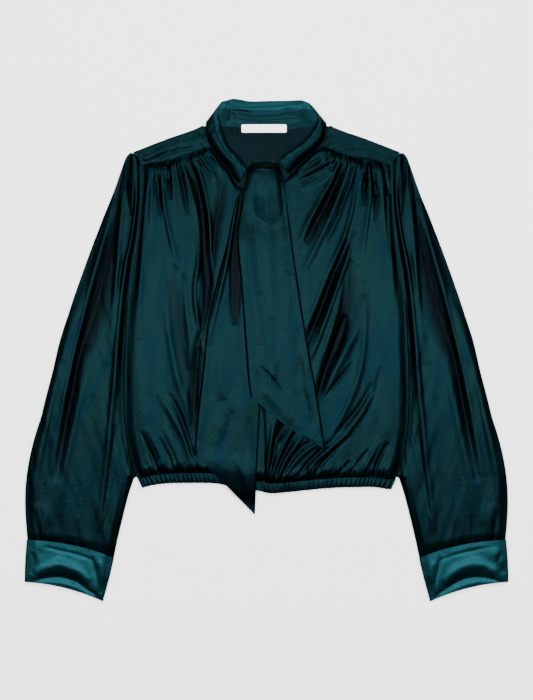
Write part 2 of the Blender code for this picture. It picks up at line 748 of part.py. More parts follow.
def casing_surface(left_end, right_end, level_of, ripple_of):
    """Gathered band between the panel and the hem edge: each gather is a ridge and a valley."""
    gathers = int(round((right_end[0] - left_end[0]) / GATHER_PITCH))
    columns = []
    for index in range(2 * gathers + 1):
        share = index / (2 * gathers)
        top_x = left_end[0] + (right_end[0] - left_end[0]) * share
        low_x = left_end[1] + (right_end[1] - left_end[1]) * share
        ridge = index % 2
        top_y = hem_seam_y(top_x) - SEAM_GAP
        low_y = table_value(HEM_EDGE, low_x) - GATHER_SCALLOP * (ridge - 0.5)
        column = []
        for way in (0.0, 0.35, 0.7, 1.0):
            x = top_x + (low_x - top_x) * way
            y = top_y + (low_y - top_y) * way
            ripple = ripple_of(x)
            bulge = CASING_BULGE * math.sin(math.pi * way)
            height = level_of(x) + ripple * (bulge + GATHER_RISE * ridge)
            column.append((x, y, height))
        columns.append(column)
    return Surface(np.array(columns).transpose(1, 0, 2))


def build_casings(material):
    """Elastic casings of the back and of both fronts."""
    top_corner = HEM_TOP_CORNER
    rows = []
    for way in (0.0, 0.5, 1.0):
        half_width = top_corner + (HEM_CORNER - top_corner) * way
        row = []
        for share in range(-12, 13):
            x = half_width * share / 12
            top_y = min(hem_seam_y(x), BACK_BOTTOM) - SEAM_GAP
            low_y = table_value(HEM_EDGE, x) + 1.0
            row.append((x, top_y + (low_y - top_y) * way, CLOTH / 2))
        rows.append(row)
    wall("casing_back", Surface(rows), CLOTH, material)

    level = CLOTH + LAYER_GAP + DOUBLE_CLOTH / 2

    def fading(x):
        return soft_step((-12.0 - x) / 10.0)

    left = casing_surface((-top_corner, -HEM_CORNER), (11.0, 10.0), lambda x: level, fading)
    wall("casing_front_left", left, DOUBLE_CLOTH, material, upright=True)

    def lifted(x):
        return level + (DOUBLE_CLOTH + LAYER_GAP + 0.2) * soft_step((34.0 - x) / 16.0)

    right = casing_surface((OVERLAP_EDGE, -5.0), (top_corner, HEM_CORNER), lifted, lambda x: 1.0)
    wall("casing_front_right", right, DOUBLE_CLOTH, material, upright=True)


def build_collar(material):
    """Neckband of double cloth: flat behind the neck, folded at both sides, arched along the front."""
    rows = []
    for seam_x, seam_y, seam_z, edge_x, edge_y, edge_z, arch, step in COLLAR_SECTIONS:
        seam = np.array((seam_x, seam_y, seam_z))
        edge = np.array((edge_x, edge_y, edge_z))
        seam = seam + (edge - seam) * step / np.linalg.norm(edge - seam)
        row = []
        for share in COLLAR_SHARES:
            point = seam + (edge - seam) * share
            point[2] += arch * math.sin(math.pi * share)
            row.append(point)
        rows.append(row)
    wall("collar", Surface(np.array(rows).transpose(1, 0, 2)[::-1]), DOUBLE_CLOTH, material)


def build_knot(material):
    """The wrap of the band that both tie ends come out of."""
    below = ("back", "yoke", "front_left", "front_right")
    base = rest_height(-4.5, 245.0, 34.0, below) + LAYER_GAP + DOUBLE_CLOTH / 2
    rows = []
    for middle_x, y, half_width, height in KNOT_ROWS:
        row = []
        for index in range(KNOT_SIDES):
            turn = 2 * math.pi * index / KNOT_SIDES
            wide = math.copysign(abs(math.cos(turn)) ** 0.7, math.cos(turn))
            high = math.copysign(abs(math.sin(turn)) ** 0.8, -math.sin(turn))
            row.append((middle_x + half_width * wide, y, base + height / 2 * (1 + high)))
        rows.append(row)
    wall("knot", Surface(rows, joined_from=0), DOUBLE_CLOTH, material)


def tie_reach(sections, index):
    """How far a facet of a tie reaches from its own corner."""
    near = sections[max(index - 1, 0):index + 2]
    width = max(math.dist(row[:2], row[2:]) for row in near) * 0.16
    step = max(math.dist(a[side:side + 2], b[side:side + 2])
               for a, b in zip(near, near[1:]) for side in (0, 2))
    return math.hypot(width, step)


def build_tie_under(material):
    """The tie end that lies on the fronts, folded lengthwise along its left edge at the top."""
    below = ("front_left", "front_right", "casing_front_left", "casing_front_right", "collar", "knot")
    rows = []
    for index, (left_x, left_y, right_x, right_y) in enumerate(TIE_UNDER_ROWS):
        reach = tie_reach(TIE_UNDER_ROWS, index)
        row = []
        for share in TIE_SHARES:
            x = left_x + (right_x - left_x) * share
            y = left_y + (right_y - left_y) * share
            rest = rest_height(x, y, reach, below)
            fold = TIE_FOLD_RISE * soft_step((left_y - TIE_FOLD_END) / 60.0)
            fold *= math.exp(-((share - 0.2) / 0.14) ** 2)
            row.append((x, y, rest + LAYER_GAP + DOUBLE_CLOTH / 2 + 0.3 + fold))
        rows.append(row)
    wall("tie_under", Surface(rows), DOUBLE_CLOTH, material)


def build_tie_upper(material):
    """The tie end that comes up behind the knot, falls over it and lies on top."""
    below = ("front_left", "front_right", "casing_front_left", "casing_front_right", "collar", "knot",
             "tie_under")
    rows = []
    last = len(TIE_UPPER_ROWS) - 1
    for index, (left_x, left_y, right_x, right_y) in enumerate(TIE_UPPER_ROWS):
        reach = tie_reach(TIE_UPPER_ROWS, index)
        row = []
        for share in TIE_SHARES:
            x = left_x + (right_x - left_x) * share
            y = left_y + (right_y - left_y) * share
            if index < len(TIE_HUMP_START):
                height = TIE_HUMP_START[index]
            else:
                height = rest_height(x, y, reach, below) + LAYER_GAP + DOUBLE_CLOTH / 2 + 0.3
            bow = 6.0 * math.sin(math.pi * share) * max(index - last + 3, 0) / 3
            curl = TIE_TIP_CURL * soft_step((share - 0.8) / 0.2) * soft_step((index - last + 2) / 2)
            row.append((x, y - bow, height + curl))
        rows.append(row)
    wall("tie_upper", Surface(rows), DOUBLE_CLOTH, material)


def build_label(material):
    """Blank woven label sewn over the back neckline."""
    left, right, bottom, top, thickness = LABEL
    rest = rest_height((left + right) / 2, (bottom + top) / 2, 20.0, ("yoke", "collar"))
    height = rest + LAYER_GAP + thickness / 2
    rows = []
    for up in (1.0, 0.5, 0.0):
        y = bottom + (top - bottom) * up
        rows.append([(left + (right - left) * share / 6, y, height) for share in range(7)])
    wall("label", Surface(rows), thickness, material)


def build_blouse():
    """All the pieces, from the surface up."""
    clear_scene()
    satin = make_material("satin", SATIN, 0.38, 0.3)
    inside = make_material("satin_inside", SATIN_INSIDE, 0.42, 0.2)
    white = make_material("label_white", LABEL_WHITE, 0.8, 0.0)
    build_back(satin)
    build_yoke(satin)
    build_fronts(satin)
    build_casings(satin)
    build_sleeves(satin)
    build_cuffs(inside)
    build_collar(inside)
    build_knot(satin)
    build_tie_under(satin)
    build_tie_upper(satin)
    build_label(white)


build_blouse()
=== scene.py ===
import math

import bpy
import numpy as np
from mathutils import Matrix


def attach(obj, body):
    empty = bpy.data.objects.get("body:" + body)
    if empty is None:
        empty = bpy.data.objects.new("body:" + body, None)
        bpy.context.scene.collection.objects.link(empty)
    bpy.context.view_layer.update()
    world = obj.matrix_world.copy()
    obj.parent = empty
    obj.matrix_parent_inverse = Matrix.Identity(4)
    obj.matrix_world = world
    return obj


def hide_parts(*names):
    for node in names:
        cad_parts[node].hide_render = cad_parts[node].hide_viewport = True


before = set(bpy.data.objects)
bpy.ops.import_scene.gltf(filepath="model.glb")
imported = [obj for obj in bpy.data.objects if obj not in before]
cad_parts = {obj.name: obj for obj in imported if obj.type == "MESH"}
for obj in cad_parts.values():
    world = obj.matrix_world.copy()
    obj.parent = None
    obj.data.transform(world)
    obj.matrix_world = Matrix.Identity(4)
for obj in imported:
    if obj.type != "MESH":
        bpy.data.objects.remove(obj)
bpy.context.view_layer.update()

# Camera and table: the blouse lies on a pale matt surface and the camera looks straight down on it, the
# collar at the top of the picture. The camera is far off, so that the view is nearly parallel.
CAMERA_HEIGHT = 2.762
TABLE_LEVEL = -0.0004
TABLE_REACH = 6.0
TABLE_GREY = (0.83, 0.83, 0.83, 1.0)
camera_data = bpy.data.cameras.new("camera")
camera_data.lens = 100.0
camera_data.sensor_width = 36.0
camera = bpy.data.objects.new("camera", camera_data)
camera.location = (0.0, 0.0, CAMERA_HEIGHT)
bpy.context.scene.collection.objects.link(camera)
bpy.context.scene.camera = camera

floor_corners = [(TABLE_REACH * x, TABLE_REACH * y, TABLE_LEVEL)
                 for x, y in ((-1, -1), (1, -1), (1, 1), (-1, 1))]
floor_mesh = bpy.data.meshes.new("floor")
floor_mesh.from_pydata(floor_corners, [], [(0, 1, 2, 3)])
floor = bpy.data.objects.new("floor", floor_mesh)
bpy.context.scene.collection.objects.link(floor)
floor_material = bpy.data.materials.new("pale_floor")
floor_material.use_nodes = True
floor_shader = floor_material.node_tree.nodes["Principled BSDF"]
floor_shader.inputs["Base Color"].default_value = TABLE_GREY
floor_shader.inputs["Roughness"].default_value = 0.9
floor_shader.inputs["Specular IOR Level"].default_value = 0.0
floor_mesh.materials.append(floor_material)


# Plain soft studio light: two long soft boxes beside the table and one beyond the collar, with a weak
# fill from all round. The folds of the satin catch the boxes and turn dark between them.
SOFT_BOXES = (
    ("box_left", (-0.95, 0.15, 2.65), (0.45, 2.2), 135.0),
    ("box_right", (0.95, 0.15, 2.65), (0.45, 2.2), 135.0),
    ("box_top", (0.0, 1.9, 2.4), (1.8, 0.8), 150.0),
)
FILL_STRENGTH = 0.06
for name, place, size, power in SOFT_BOXES:
    box_data = bpy.data.lights.new(name, "AREA")
    box_data.shape = "RECTANGLE"
    box_data.size = size[0]
    box_data.size_y = size[1]
    box_data.energy = power
    box = bpy.data.objects.new(name, box_data)
    box.location = place
    box.rotation_euler = (-box.location.normalized()).to_track_quat("-Z", "Y").to_euler()
    bpy.context.scene.collection.objects.link(box)
world = bpy.data.worlds.new("studio")
world.use_nodes = True
world.node_tree.nodes["Background"].inputs["Color"].default_value = (0.95, 0.97, 1.0, 1.0)
world.node_tree.nodes["Background"].inputs["Strength"].default_value = FILL_STRENGTH
bpy.context.scene.world = world


# The satin that nearly all of the blouse is cut from: polyester satin dyed dark petrol, woven with
# long floats that run up and down each piece. Cuffs and parts of the neckband are coloured paler, and the
# fold troughs and the inside of the neck take a painted shade.
DEEP_DYE = (0.0003, 0.0029, 0.0044, 1.0)
GREEN_DYE = (0.00045, 0.0037, 0.0039, 1.0)
PALE_TINT = (0.0017, 0.0122, 0.0152, 1.0)
FOLD_SHADOW = (0.0003, 0.0004, 0.0008, 1.0)
satin_weave = bpy.data.node_groups.new("satin_weave", "ShaderNodeTree")
for name in ("Deep", "Green", "Paler Tint", "Painted Fold Shade"):
    satin_weave.interface.new_socket(name=name, in_out="INPUT", socket_type="NodeSocketColor")
satin_weave.interface.new_socket(name="Color", in_out="OUTPUT", socket_type="NodeSocketColor")
satin_weave.interface.new_socket(name="Roughness", in_out="OUTPUT", socket_type="NodeSocketFloat")
satin_weave.interface.new_socket(name="Height", in_out="OUTPUT", socket_type="NodeSocketFloat")
nodes = satin_weave.nodes
links = satin_weave.links
enter = nodes.new("NodeGroupInput")
leave = nodes.new("NodeGroupOutput")
along = nodes.new("ShaderNodeUVMap")
along.uv_map = "cloth"


def drawn_out_noise(across_scale, down_scale, detail):
    """Noise along the cloth, drawn out in the direction of the long threads."""
    stretch = nodes.new("ShaderNodeMapping")
    stretch.inputs["Scale"].default_value = (across_scale, down_scale, 1.0)
    links.new(along.outputs["UV"], stretch.inputs["Vector"])
    noise = nodes.new("ShaderNodeTexNoise")
    noise.inputs["Scale"].default_value = 1.0
    noise.inputs["Detail"].default_value = detail
    links.new(stretch.outputs["Vector"], noise.inputs["Vector"])
    return noise.outputs["Fac"]


def mapped(value, from_low, from_high, to_low, to_high):
    """A value brought from one range into another."""
    node = nodes.new("ShaderNodeMapRange")
    node.inputs["From Min"].default_value = from_low
    node.inputs["From Max"].default_value = from_high
    node.inputs["To Min"].default_value = to_low
    node.inputs["To Max"].default_value = to_high
    links.new(value, node.inputs["Value"])
    return node.outputs["Result"]


def mixed(share, first, second):
    """A colour between two others."""
    node = nodes.new("ShaderNodeMix")
    node.data_type = "RGBA"
    links.new(share, node.inputs["Factor"])
    links.new(first, node.inputs["A"])
    links.new(second, node.inputs["B"])
    return node.outputs["Result"]


def point_value(name):
    """A value that the mesh carries at its points."""
    node = nodes.new("ShaderNodeAttribute")
    node.attribute_name = name
    return node.outputs["Fac"]


dye_cloud = mapped(drawn_out_noise(60.0, 9.0, 3.0), 0.35, 0.65, 0.0, 1.0)
dyed = mixed(dye_cloud, enter.outputs["Deep"], enter.outputs["Green"])
# the cuffs and parts of the neckband are mixed towards a paler colour
tinted = mixed(point_value("paler_tint"), dyed, enter.outputs["Paler Tint"])
# painted shade: fold troughs and the inside of the neck are mixed towards the near-black fold shadow colour
fold_shaded = mixed(point_value("painted_fold_shade"), tinted, enter.outputs["Painted Fold Shade"])
threads = drawn_out_noise(900.0, 220.0, 2.0)
grained = nodes.new("ShaderNodeVectorMath")
grained.operation = "SCALE"
links.new(fold_shaded, grained.inputs["Vector"])
links.new(mapped(threads, 0.3, 0.7, 0.62, 1.4), grained.inputs["Scale"])
links.new(grained.outputs["Vector"], leave.inputs["Color"])
links.new(mapped(threads, 0.0, 1.0, 0.28, 0.40), leave.inputs["Roughness"])
links.new(threads, leave.inputs["Height"])

satin = bpy.data.materials.new("satin")
satin.use_nodes = True
satin_shader = satin.node_tree.nodes["Principled BSDF"]
satin_shader.inputs["Metallic"].default_value = 0.95
satin_shader.inputs["Specular IOR Level"].default_value = 0.12
weave = satin.node_tree.nodes.new("ShaderNodeGroup")
weave.node_tree = satin_weave
weave.inputs["Deep"].default_value = DEEP_DYE
weave.inputs["Green"].default_value = GREEN_DYE
weave.inputs["Paler Tint"].default_value = PALE_TINT
weave.inputs["Painted Fold Shade"].default_value = FOLD_SHADOW
thread_bump = satin.node_tree.nodes.new("ShaderNodeBump")
thread_bump.inputs["Strength"].default_value = 0.55
thread_bump.inputs["Distance"].default_value = 0.0005
satin.node_tree.links.new(weave.outputs["Height"], thread_bump.inputs["Height"])
satin.node_tree.links.new(weave.outputs["Color"], satin_shader.inputs["Base Color"])
satin.node_tree.links.new(weave.outputs["Roughness"], satin_shader.inputs["Roughness"])
satin.node_tree.links.new(thread_bump.outputs["Normal"], satin_shader.inputs["Normal"])


# Back: one plain panel that lies flat on the surface under all the rest, cut from the satin. It is
# sewn to the yoke above, to the fronts at the sides and to its hem casing below.
BODY_SIDE = ((280.5, 189.0), (274.6, 181.8), (262.8, 176.2), (227.5, 177.1), (192.3, 179.3), (166.3, 182.0),
             (121.6, 188.9), (74.6, 195.8), (15.6, 199.5), (-71.0, 201.6), (-108.0, 200.0), (-150.0, 193.0),
             (-182.0, 183.5))
ARMHOLE_CORNER = 262.8
BACK_YOKE_SEAM = 213.0
BACK_BOTTOM = -182.0
BACK_LEVEL = 0.5
GAP = 0.15
CLOTH = 0.7
MM = 0.001
CREASE = math.radians(60)


def smooth(levels, values, places):
    """Values on a smooth curve through a table with rising levels."""
    levels = np.asarray(levels, float)
    values = np.asarray(values, float)
    places = np.clip(np.asarray(places, float), levels[0], levels[-1])
    slopes = np.gradient(values, levels)
    first = np.clip(np.searchsorted(levels, places) - 1, 0, len(levels) - 2)
    span = levels[first + 1] - levels[first]
    share = (places - levels[first]) / span
    start = (1 + 2 * share) * (1 - share) ** 2 * values[first]
    start_slope = share * (1 - share) ** 2 * span * slopes[first]
    end = share ** 2 * (3 - 2 * share) * values[first + 1]
    end_slope = share ** 2 * (share - 1) * span * slopes[first + 1]
    return start + start_slope + end + end_slope


def table(rows, places, straight=False):
    """Second column of a table at places in its first column."""
    rows = np.array(sorted(rows), float)
    if straight:
        return np.interp(places, rows[:, 0], rows[:, 1])
    return smooth(rows[:, 0], rows[:, 1], places)


def side_x(y):
    """Distance from the middle to the body's side or armhole."""
    lower = [row for row in BODY_SIDE if row[0] <= ARMHOLE_CORNER]
    return np.where(np.asarray(y) > ARMHOLE_CORNER, table(BODY_SIDE, y, True), table(lower, y))


def step(value):
    """Smooth step from 0 to 1."""
    value = np.clip(value, 0.0, 1.0)
    return value * value * (3 - 2 * value)


def grid(x, y, z):
    """Points from places and heights, some of which may vary in one direction only."""
    return np.stack(np.broadcast_arrays(x, y, z), axis=-1)


def shell(name, rows, thickness, kept=None, ring=False, paler_tint=0.0, upright=False, fold_shade=0.0):
    """Closed thin shell around a grid of points in millimetres, half of its thickness to each side.

    A ring is closed across. Where upright is set, the thickness is measured straight up. The satin
    reads the paler tint and the painted fold shade, both 0 to 1, from the points.
    """
    rows = np.asarray(rows, float)
    count, width = rows.shape[:2]
    down = np.gradient(rows, axis=0)
    if ring:
        across = (np.roll(rows, -1, axis=1) - np.roll(rows, 1, axis=1)) / 2
    else:
        across = np.gradient(rows, axis=1)
    normal = np.cross(down, across)
    normal /= np.maximum(np.linalg.norm(normal, axis=2, keepdims=True), 1e-9)
    if upright:
        normal = np.zeros_like(rows)
        normal[:, :, 2] = 1.0
    points = np.concatenate([(rows + normal * thickness / 2).reshape(-1, 3),
                             (rows - normal * thickness / 2).reshape(-1, 3)]) * MM
    numbers = np.arange(count * width).reshape(count, width)
    if ring:
        numbers = np.concatenate([numbers, numbers[:, :1]], axis=1)
    cells = np.stack([numbers[:-1, :-1], numbers[1:, :-1], numbers[1:, 1:], numbers[:-1, 1:]], axis=-1)
    if kept is not None:
        cells = cells[kept]
    cells = cells.reshape(-1, 4)
    total = count * width
    edges = np.concatenate([cells[:, [0, 1]], cells[:, [1, 2]], cells[:, [2, 3]], cells[:, [3, 0]]])
    forward = edges[:, 0] * total + edges[:, 1]
    backward = edges[:, 1] * total + edges[:, 0]
    rim = edges[~np.isin(forward, backward)]
    rim_faces = np.stack([rim[:, 1], rim[:, 0], rim[:, 0] + total, rim[:, 1] + total], axis=-1)
    faces = np.concatenate([cells, cells[:, ::-1] + total, rim_faces])
    mesh = bpy.data.meshes.new(name)
    mesh.vertices.add(len(points))
    mesh.vertices.foreach_set("co", points.ravel())
    mesh.loops.add(faces.size)
    mesh.loops.foreach_set("vertex_index", faces.ravel().astype(np.int32))
    mesh.polygons.add(len(faces))
    mesh.polygons.foreach_set("loop_start", (np.arange(len(faces)) * 4).astype(np.int32))
    uv_across = np.cumsum(np.linalg.norm(np.diff(rows, axis=1, prepend=rows[:, :1]), axis=2), axis=1)
    uv_down = np.cumsum(np.linalg.norm(np.diff(rows, axis=0, prepend=rows[:1]), axis=2), axis=0)
    uv = np.stack([uv_across, uv_down], axis=-1).reshape(-1, 2) * MM
    uv = np.concatenate([uv, uv])
    layer = mesh.uv_layers.new(name="cloth")
    layer.data.foreach_set("uv", uv[faces.ravel()].ravel().astype(np.float32))
    tint_layer = mesh.attributes.new("paler_tint", "FLOAT", "POINT")
    tint_values = np.broadcast_to(paler_tint, (count, width)).reshape(-1)
    tint_layer.data.foreach_set("value", np.concatenate([tint_values, tint_values]).astype(np.float32))
    shade_layer = mesh.attributes.new("painted_fold_shade", "FLOAT", "POINT")
    shade_values = np.broadcast_to(fold_shade, (count, width)).reshape(-1)
    shade_layer.data.foreach_set("value", np.concatenate([shade_values, shade_values]).astype(np.float32))
    mesh.update(calc_edges=True)
    mesh.validate()
    mesh.shade_smooth()
    mesh.set_sharp_from_angle(angle=CREASE)
    made = bpy.data.objects.new(name, mesh)
    bpy.context.scene.collection.objects.link(made)
    return made


def finish_piece(made, node, material):
    """The piece takes the place of its CAD node, and says what it is cut from."""
    made.data.materials.append(material)
    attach(made, "root")
    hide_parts(node)


down = np.linspace(0.0, 1.0, 60)[:, None]
across = np.linspace(-1.0, 1.0, 80)[None, :]
back_y = (BACK_YOKE_SEAM - GAP) + (BACK_BOTTOM - BACK_YOKE_SEAM + GAP) * down
back = shell("back_panel", grid(side_x(back_y) * across, back_y, BACK_LEVEL), CLOTH)
finish_piece(back, "back", satin)


# Fronts: two panels of the same satin, full and soft. Each is gathered into the front yoke seam and
# drawn in again by the hem casing. The left one has the underlap, and the right one lies over it.
YOKE_SEAM = ((80.5, 288.5), (94.5, 284.0), (101.5, 281.0), (116.0, 276.5), (130.0, 271.0), (144.0, 267.0),
             (158.5, 265.5), (176.2, 263.0))
LEFT_NECKLINE = ((-80.5, 288.5), (-77.5, 284.0), (-69.0, 272.5), (-54.5, 255.5), (-43.5, 236.0),
                 (-30.0, 227.0), (14.0, 222.0))
RIGHT_NECKLINE = ((-8.0, 221.0), (10.0, 228.0), (24.0, 241.0), (36.0, 252.5), (54.5, 270.0), (73.0, 286.5),
                  (80.5, 288.5))
HEM_EDGE = ((-176.5, -195.5), (-155.5, -191.0), (-129.0, -189.0), (-98.0, -188.8), (-71.0, -189.8),
            (-57.0, -192.4), (-13.5, -199.8), (8.5, -203.4), (20.5, -202.6), (49.0, -200.0), (81.0, -196.8),
            (120.0, -195.0), (154.5, -195.0), (176.5, -198.2))
CASING_DEPTH = 14.0
CASING_HALF_TOP = 183.0
UNDERLAP_EDGE = 14.0
OVERLAP_EDGE = -7.5
OVERLAP_LIFT = 2.0
OVERLAP_END = 34.0
FRONT_LEVEL = 2.1
FRONT_LIFT = 4.2
FRONT_GRID = (196, 134)
SIDE_RISE = 15.0
SEAM_RISE = 11.0
HEM_RISE = 26.0
FIRST_GATHER = 172.0
LAST_GATHER = 84.0
SEAM_GATHER_LENGTHS = (12.0, 34.0)
SEAM_GATHER_STEPS = (5.2, 7.6)
HEM_GATHER_LENGTHS = (10.0, 26.0)
HEM_GATHER_STEPS = (5.0, 7.8)
SEWN_IN = 6.0
FULL_SHADE_DEPTH = 4.4
DARKEST_FOLD_SHADE = 0.85
# Each fold has its height, below zero for a trough, the share by which it leans to one side, and its
# line: places x and y with the half width there, all in millimetres.
LEFT_FRONT_FOLDS = (
    (2.2, 0.0, ((-165.4, 265.5, 3.5), (-169.7, 227.2, 3.5), (-173.9, 184.6, 4.3), (-176.8, 134.9, 4.3),
          (-179.6, 71.0, 5.0), (-181.0, 14.2, 7.1))),
    (1.5, 0.0, ((-179.6, 28.4, 11.4), (-179.6, -28.4, 14.2), (-175.4, -85.2, 14.2), (-165.4, -142.0, 9.9))),
    (-3.0, 0.0, ((-156.9, 269.8, 2.8), (-154.8, 241.4, 3.5), (-152.7, 213.0, 3.5), (-150.5, 190.3, 2.8))),
    (1.8, 0.0, ((-162.6, 267.0, 2.8), (-162.6, 234.3, 2.8), (-163.3, 205.9, 3.5), (-162.6, 156.2, 5.0))),
    (2.0, 0.0, ((-149.8, 267.0, 2.8), (-147.0, 227.2, 3.1), (-142.7, 191.7, 3.5), (-134.2, 151.9, 4.3),
          (-124.2, 113.6, 4.3))),
    (-3.0, 0.0, ((-139.9, 272.6, 2.6), (-138.4, 244.2, 2.8), (-136.3, 214.4, 2.6))),
    (1.6, 0.0, ((-132.8, 267.0, 2.8), (-131.3, 227.2, 4.3), (-129.9, 191.7, 5.7), (-128.5, 149.1, 7.1))),
    (-3.2, 0.0, ((-127.1, 275.5, 2.6), (-121.4, 247.1, 3.1), (-115.7, 218.7, 3.7), (-111.5, 193.1, 2.8))),
    (-1.5, 0.0, ((-117.1, 272.6, 2.1), (-111.5, 255.6, 2.1), (-104.4, 238.6, 2.1))),
    (-5.8, 0.0, ((-114.3, 278.3, 3.1), (-102.9, 247.1, 5.7), (-94.4, 215.8, 7.1), (-90.2, 173.2, 7.1),
          (-87.3, 130.6, 6.4), (-84.5, 92.3, 7.1), (-85.9, 66.7, 7.1), (-90.2, 39.8, 5.7),
          (-95.8, 7.1, 4.3))),
    (2.4, 0.0, ((-118.6, 265.5, 2.8), (-107.2, 227.2, 3.1), (-98.7, 196.0, 3.5), (-94.4, 163.3, 3.5),
          (-95.8, 127.8, 3.5), (-101.5, 92.3, 3.5), (-101.5, 71.0, 3.5), (-95.8, 35.5, 3.5),
          (-90.2, -7.1, 3.5))),
    (2.4, 0.0, ((-104.4, 279.7, 2.8), (-93.0, 244.2, 3.1), (-85.9, 213.0, 3.5), (-80.9, 181.8, 3.1),
          (-78.8, 142.0, 2.8), (-76.7, 85.2, 2.8))),
    (-1.6, 0.0, ((-102.9, 282.6, 2.1), (-88.8, 261.3, 2.6), (-74.5, 241.4, 2.8))),
    (-1.4, 0.0, ((-97.3, 285.4, 2.0), (-83.1, 274.1, 2.1), (-68.9, 259.9, 2.1))),
    (1.5, 0.0, ((-97.3, 279.7, 2.8), (-83.1, 258.4, 3.5), (-67.5, 234.3, 4.3))),
    (-4.0, 0.0, ((-61.8, 252.8, 5.7), (-67.5, 205.9, 7.1), (-73.1, 163.3, 6.4), (-76.7, 125.0, 5.0),
          (-78.8, 85.2, 3.5))),
    (-2.6, 0.0, ((-132.8, 120.7, 5.7), (-128.5, 71.0, 8.5), (-124.2, 28.4, 9.9), (-117.1, -14.2, 9.9),
          (-110.0, -49.7, 8.5), (-105.8, -85.2, 5.7))),
    (1.8, 0.0, ((-141.3, 99.4, 5.7), (-139.9, 49.7, 5.7), (-135.6, 7.1, 5.7), (-127.1, -35.5, 6.4),
          (-115.7, -71.0, 6.4), (-104.4, -105.1, 5.7))),
    (1.6, 0.0, ((-117.1, 106.5, 4.3), (-112.9, 56.8, 5.0), (-108.6, 14.2, 5.0), (-108.6, -28.4, 4.3))),
    (-4.5, 0.0, ((-94.4, 25.6, 4.3), (-98.7, -21.3, 7.1), (-101.5, -63.9, 7.1), (-103.7, -106.5, 5.7),
          (-102.9, -134.9, 4.3))),
    (-2.6, 0.0, ((-137.0, -62.5, 2.6), (-122.8, -92.3, 3.1), (-112.9, -120.7, 3.7),
          (-105.8, -144.8, 3.7), (-97.3, -180.3, 2.8))),
    (1.5, 0.0, ((-154.1, -56.8, 5.7), (-134.2, -92.3, 5.7), (-118.6, -120.7, 5.0),
          (-108.6, -149.1, 4.3), (-101.5, -176.1, 2.8))),
    (-2.2, 0.0, ((-176.8, -116.4, 2.1), (-166.8, -142.0, 2.8), (-159.8, -156.2, 3.1),
          (-152.7, -177.5, 2.6))),
    (1.2, 0.0, ((-169.7, -109.3, 4.3), (-154.1, -142.0, 4.3), (-141.3, -170.4, 3.5))),
    (1.0, 0.0, ((-145.5, -109.3, 3.5), (-129.9, -142.0, 3.5), (-117.1, -173.2, 2.8))),
    (-1.4, 0.0, ((-152.7, -123.5, 2.1), (-139.9, -149.1, 2.6), (-128.5, -176.1, 2.1))),
)
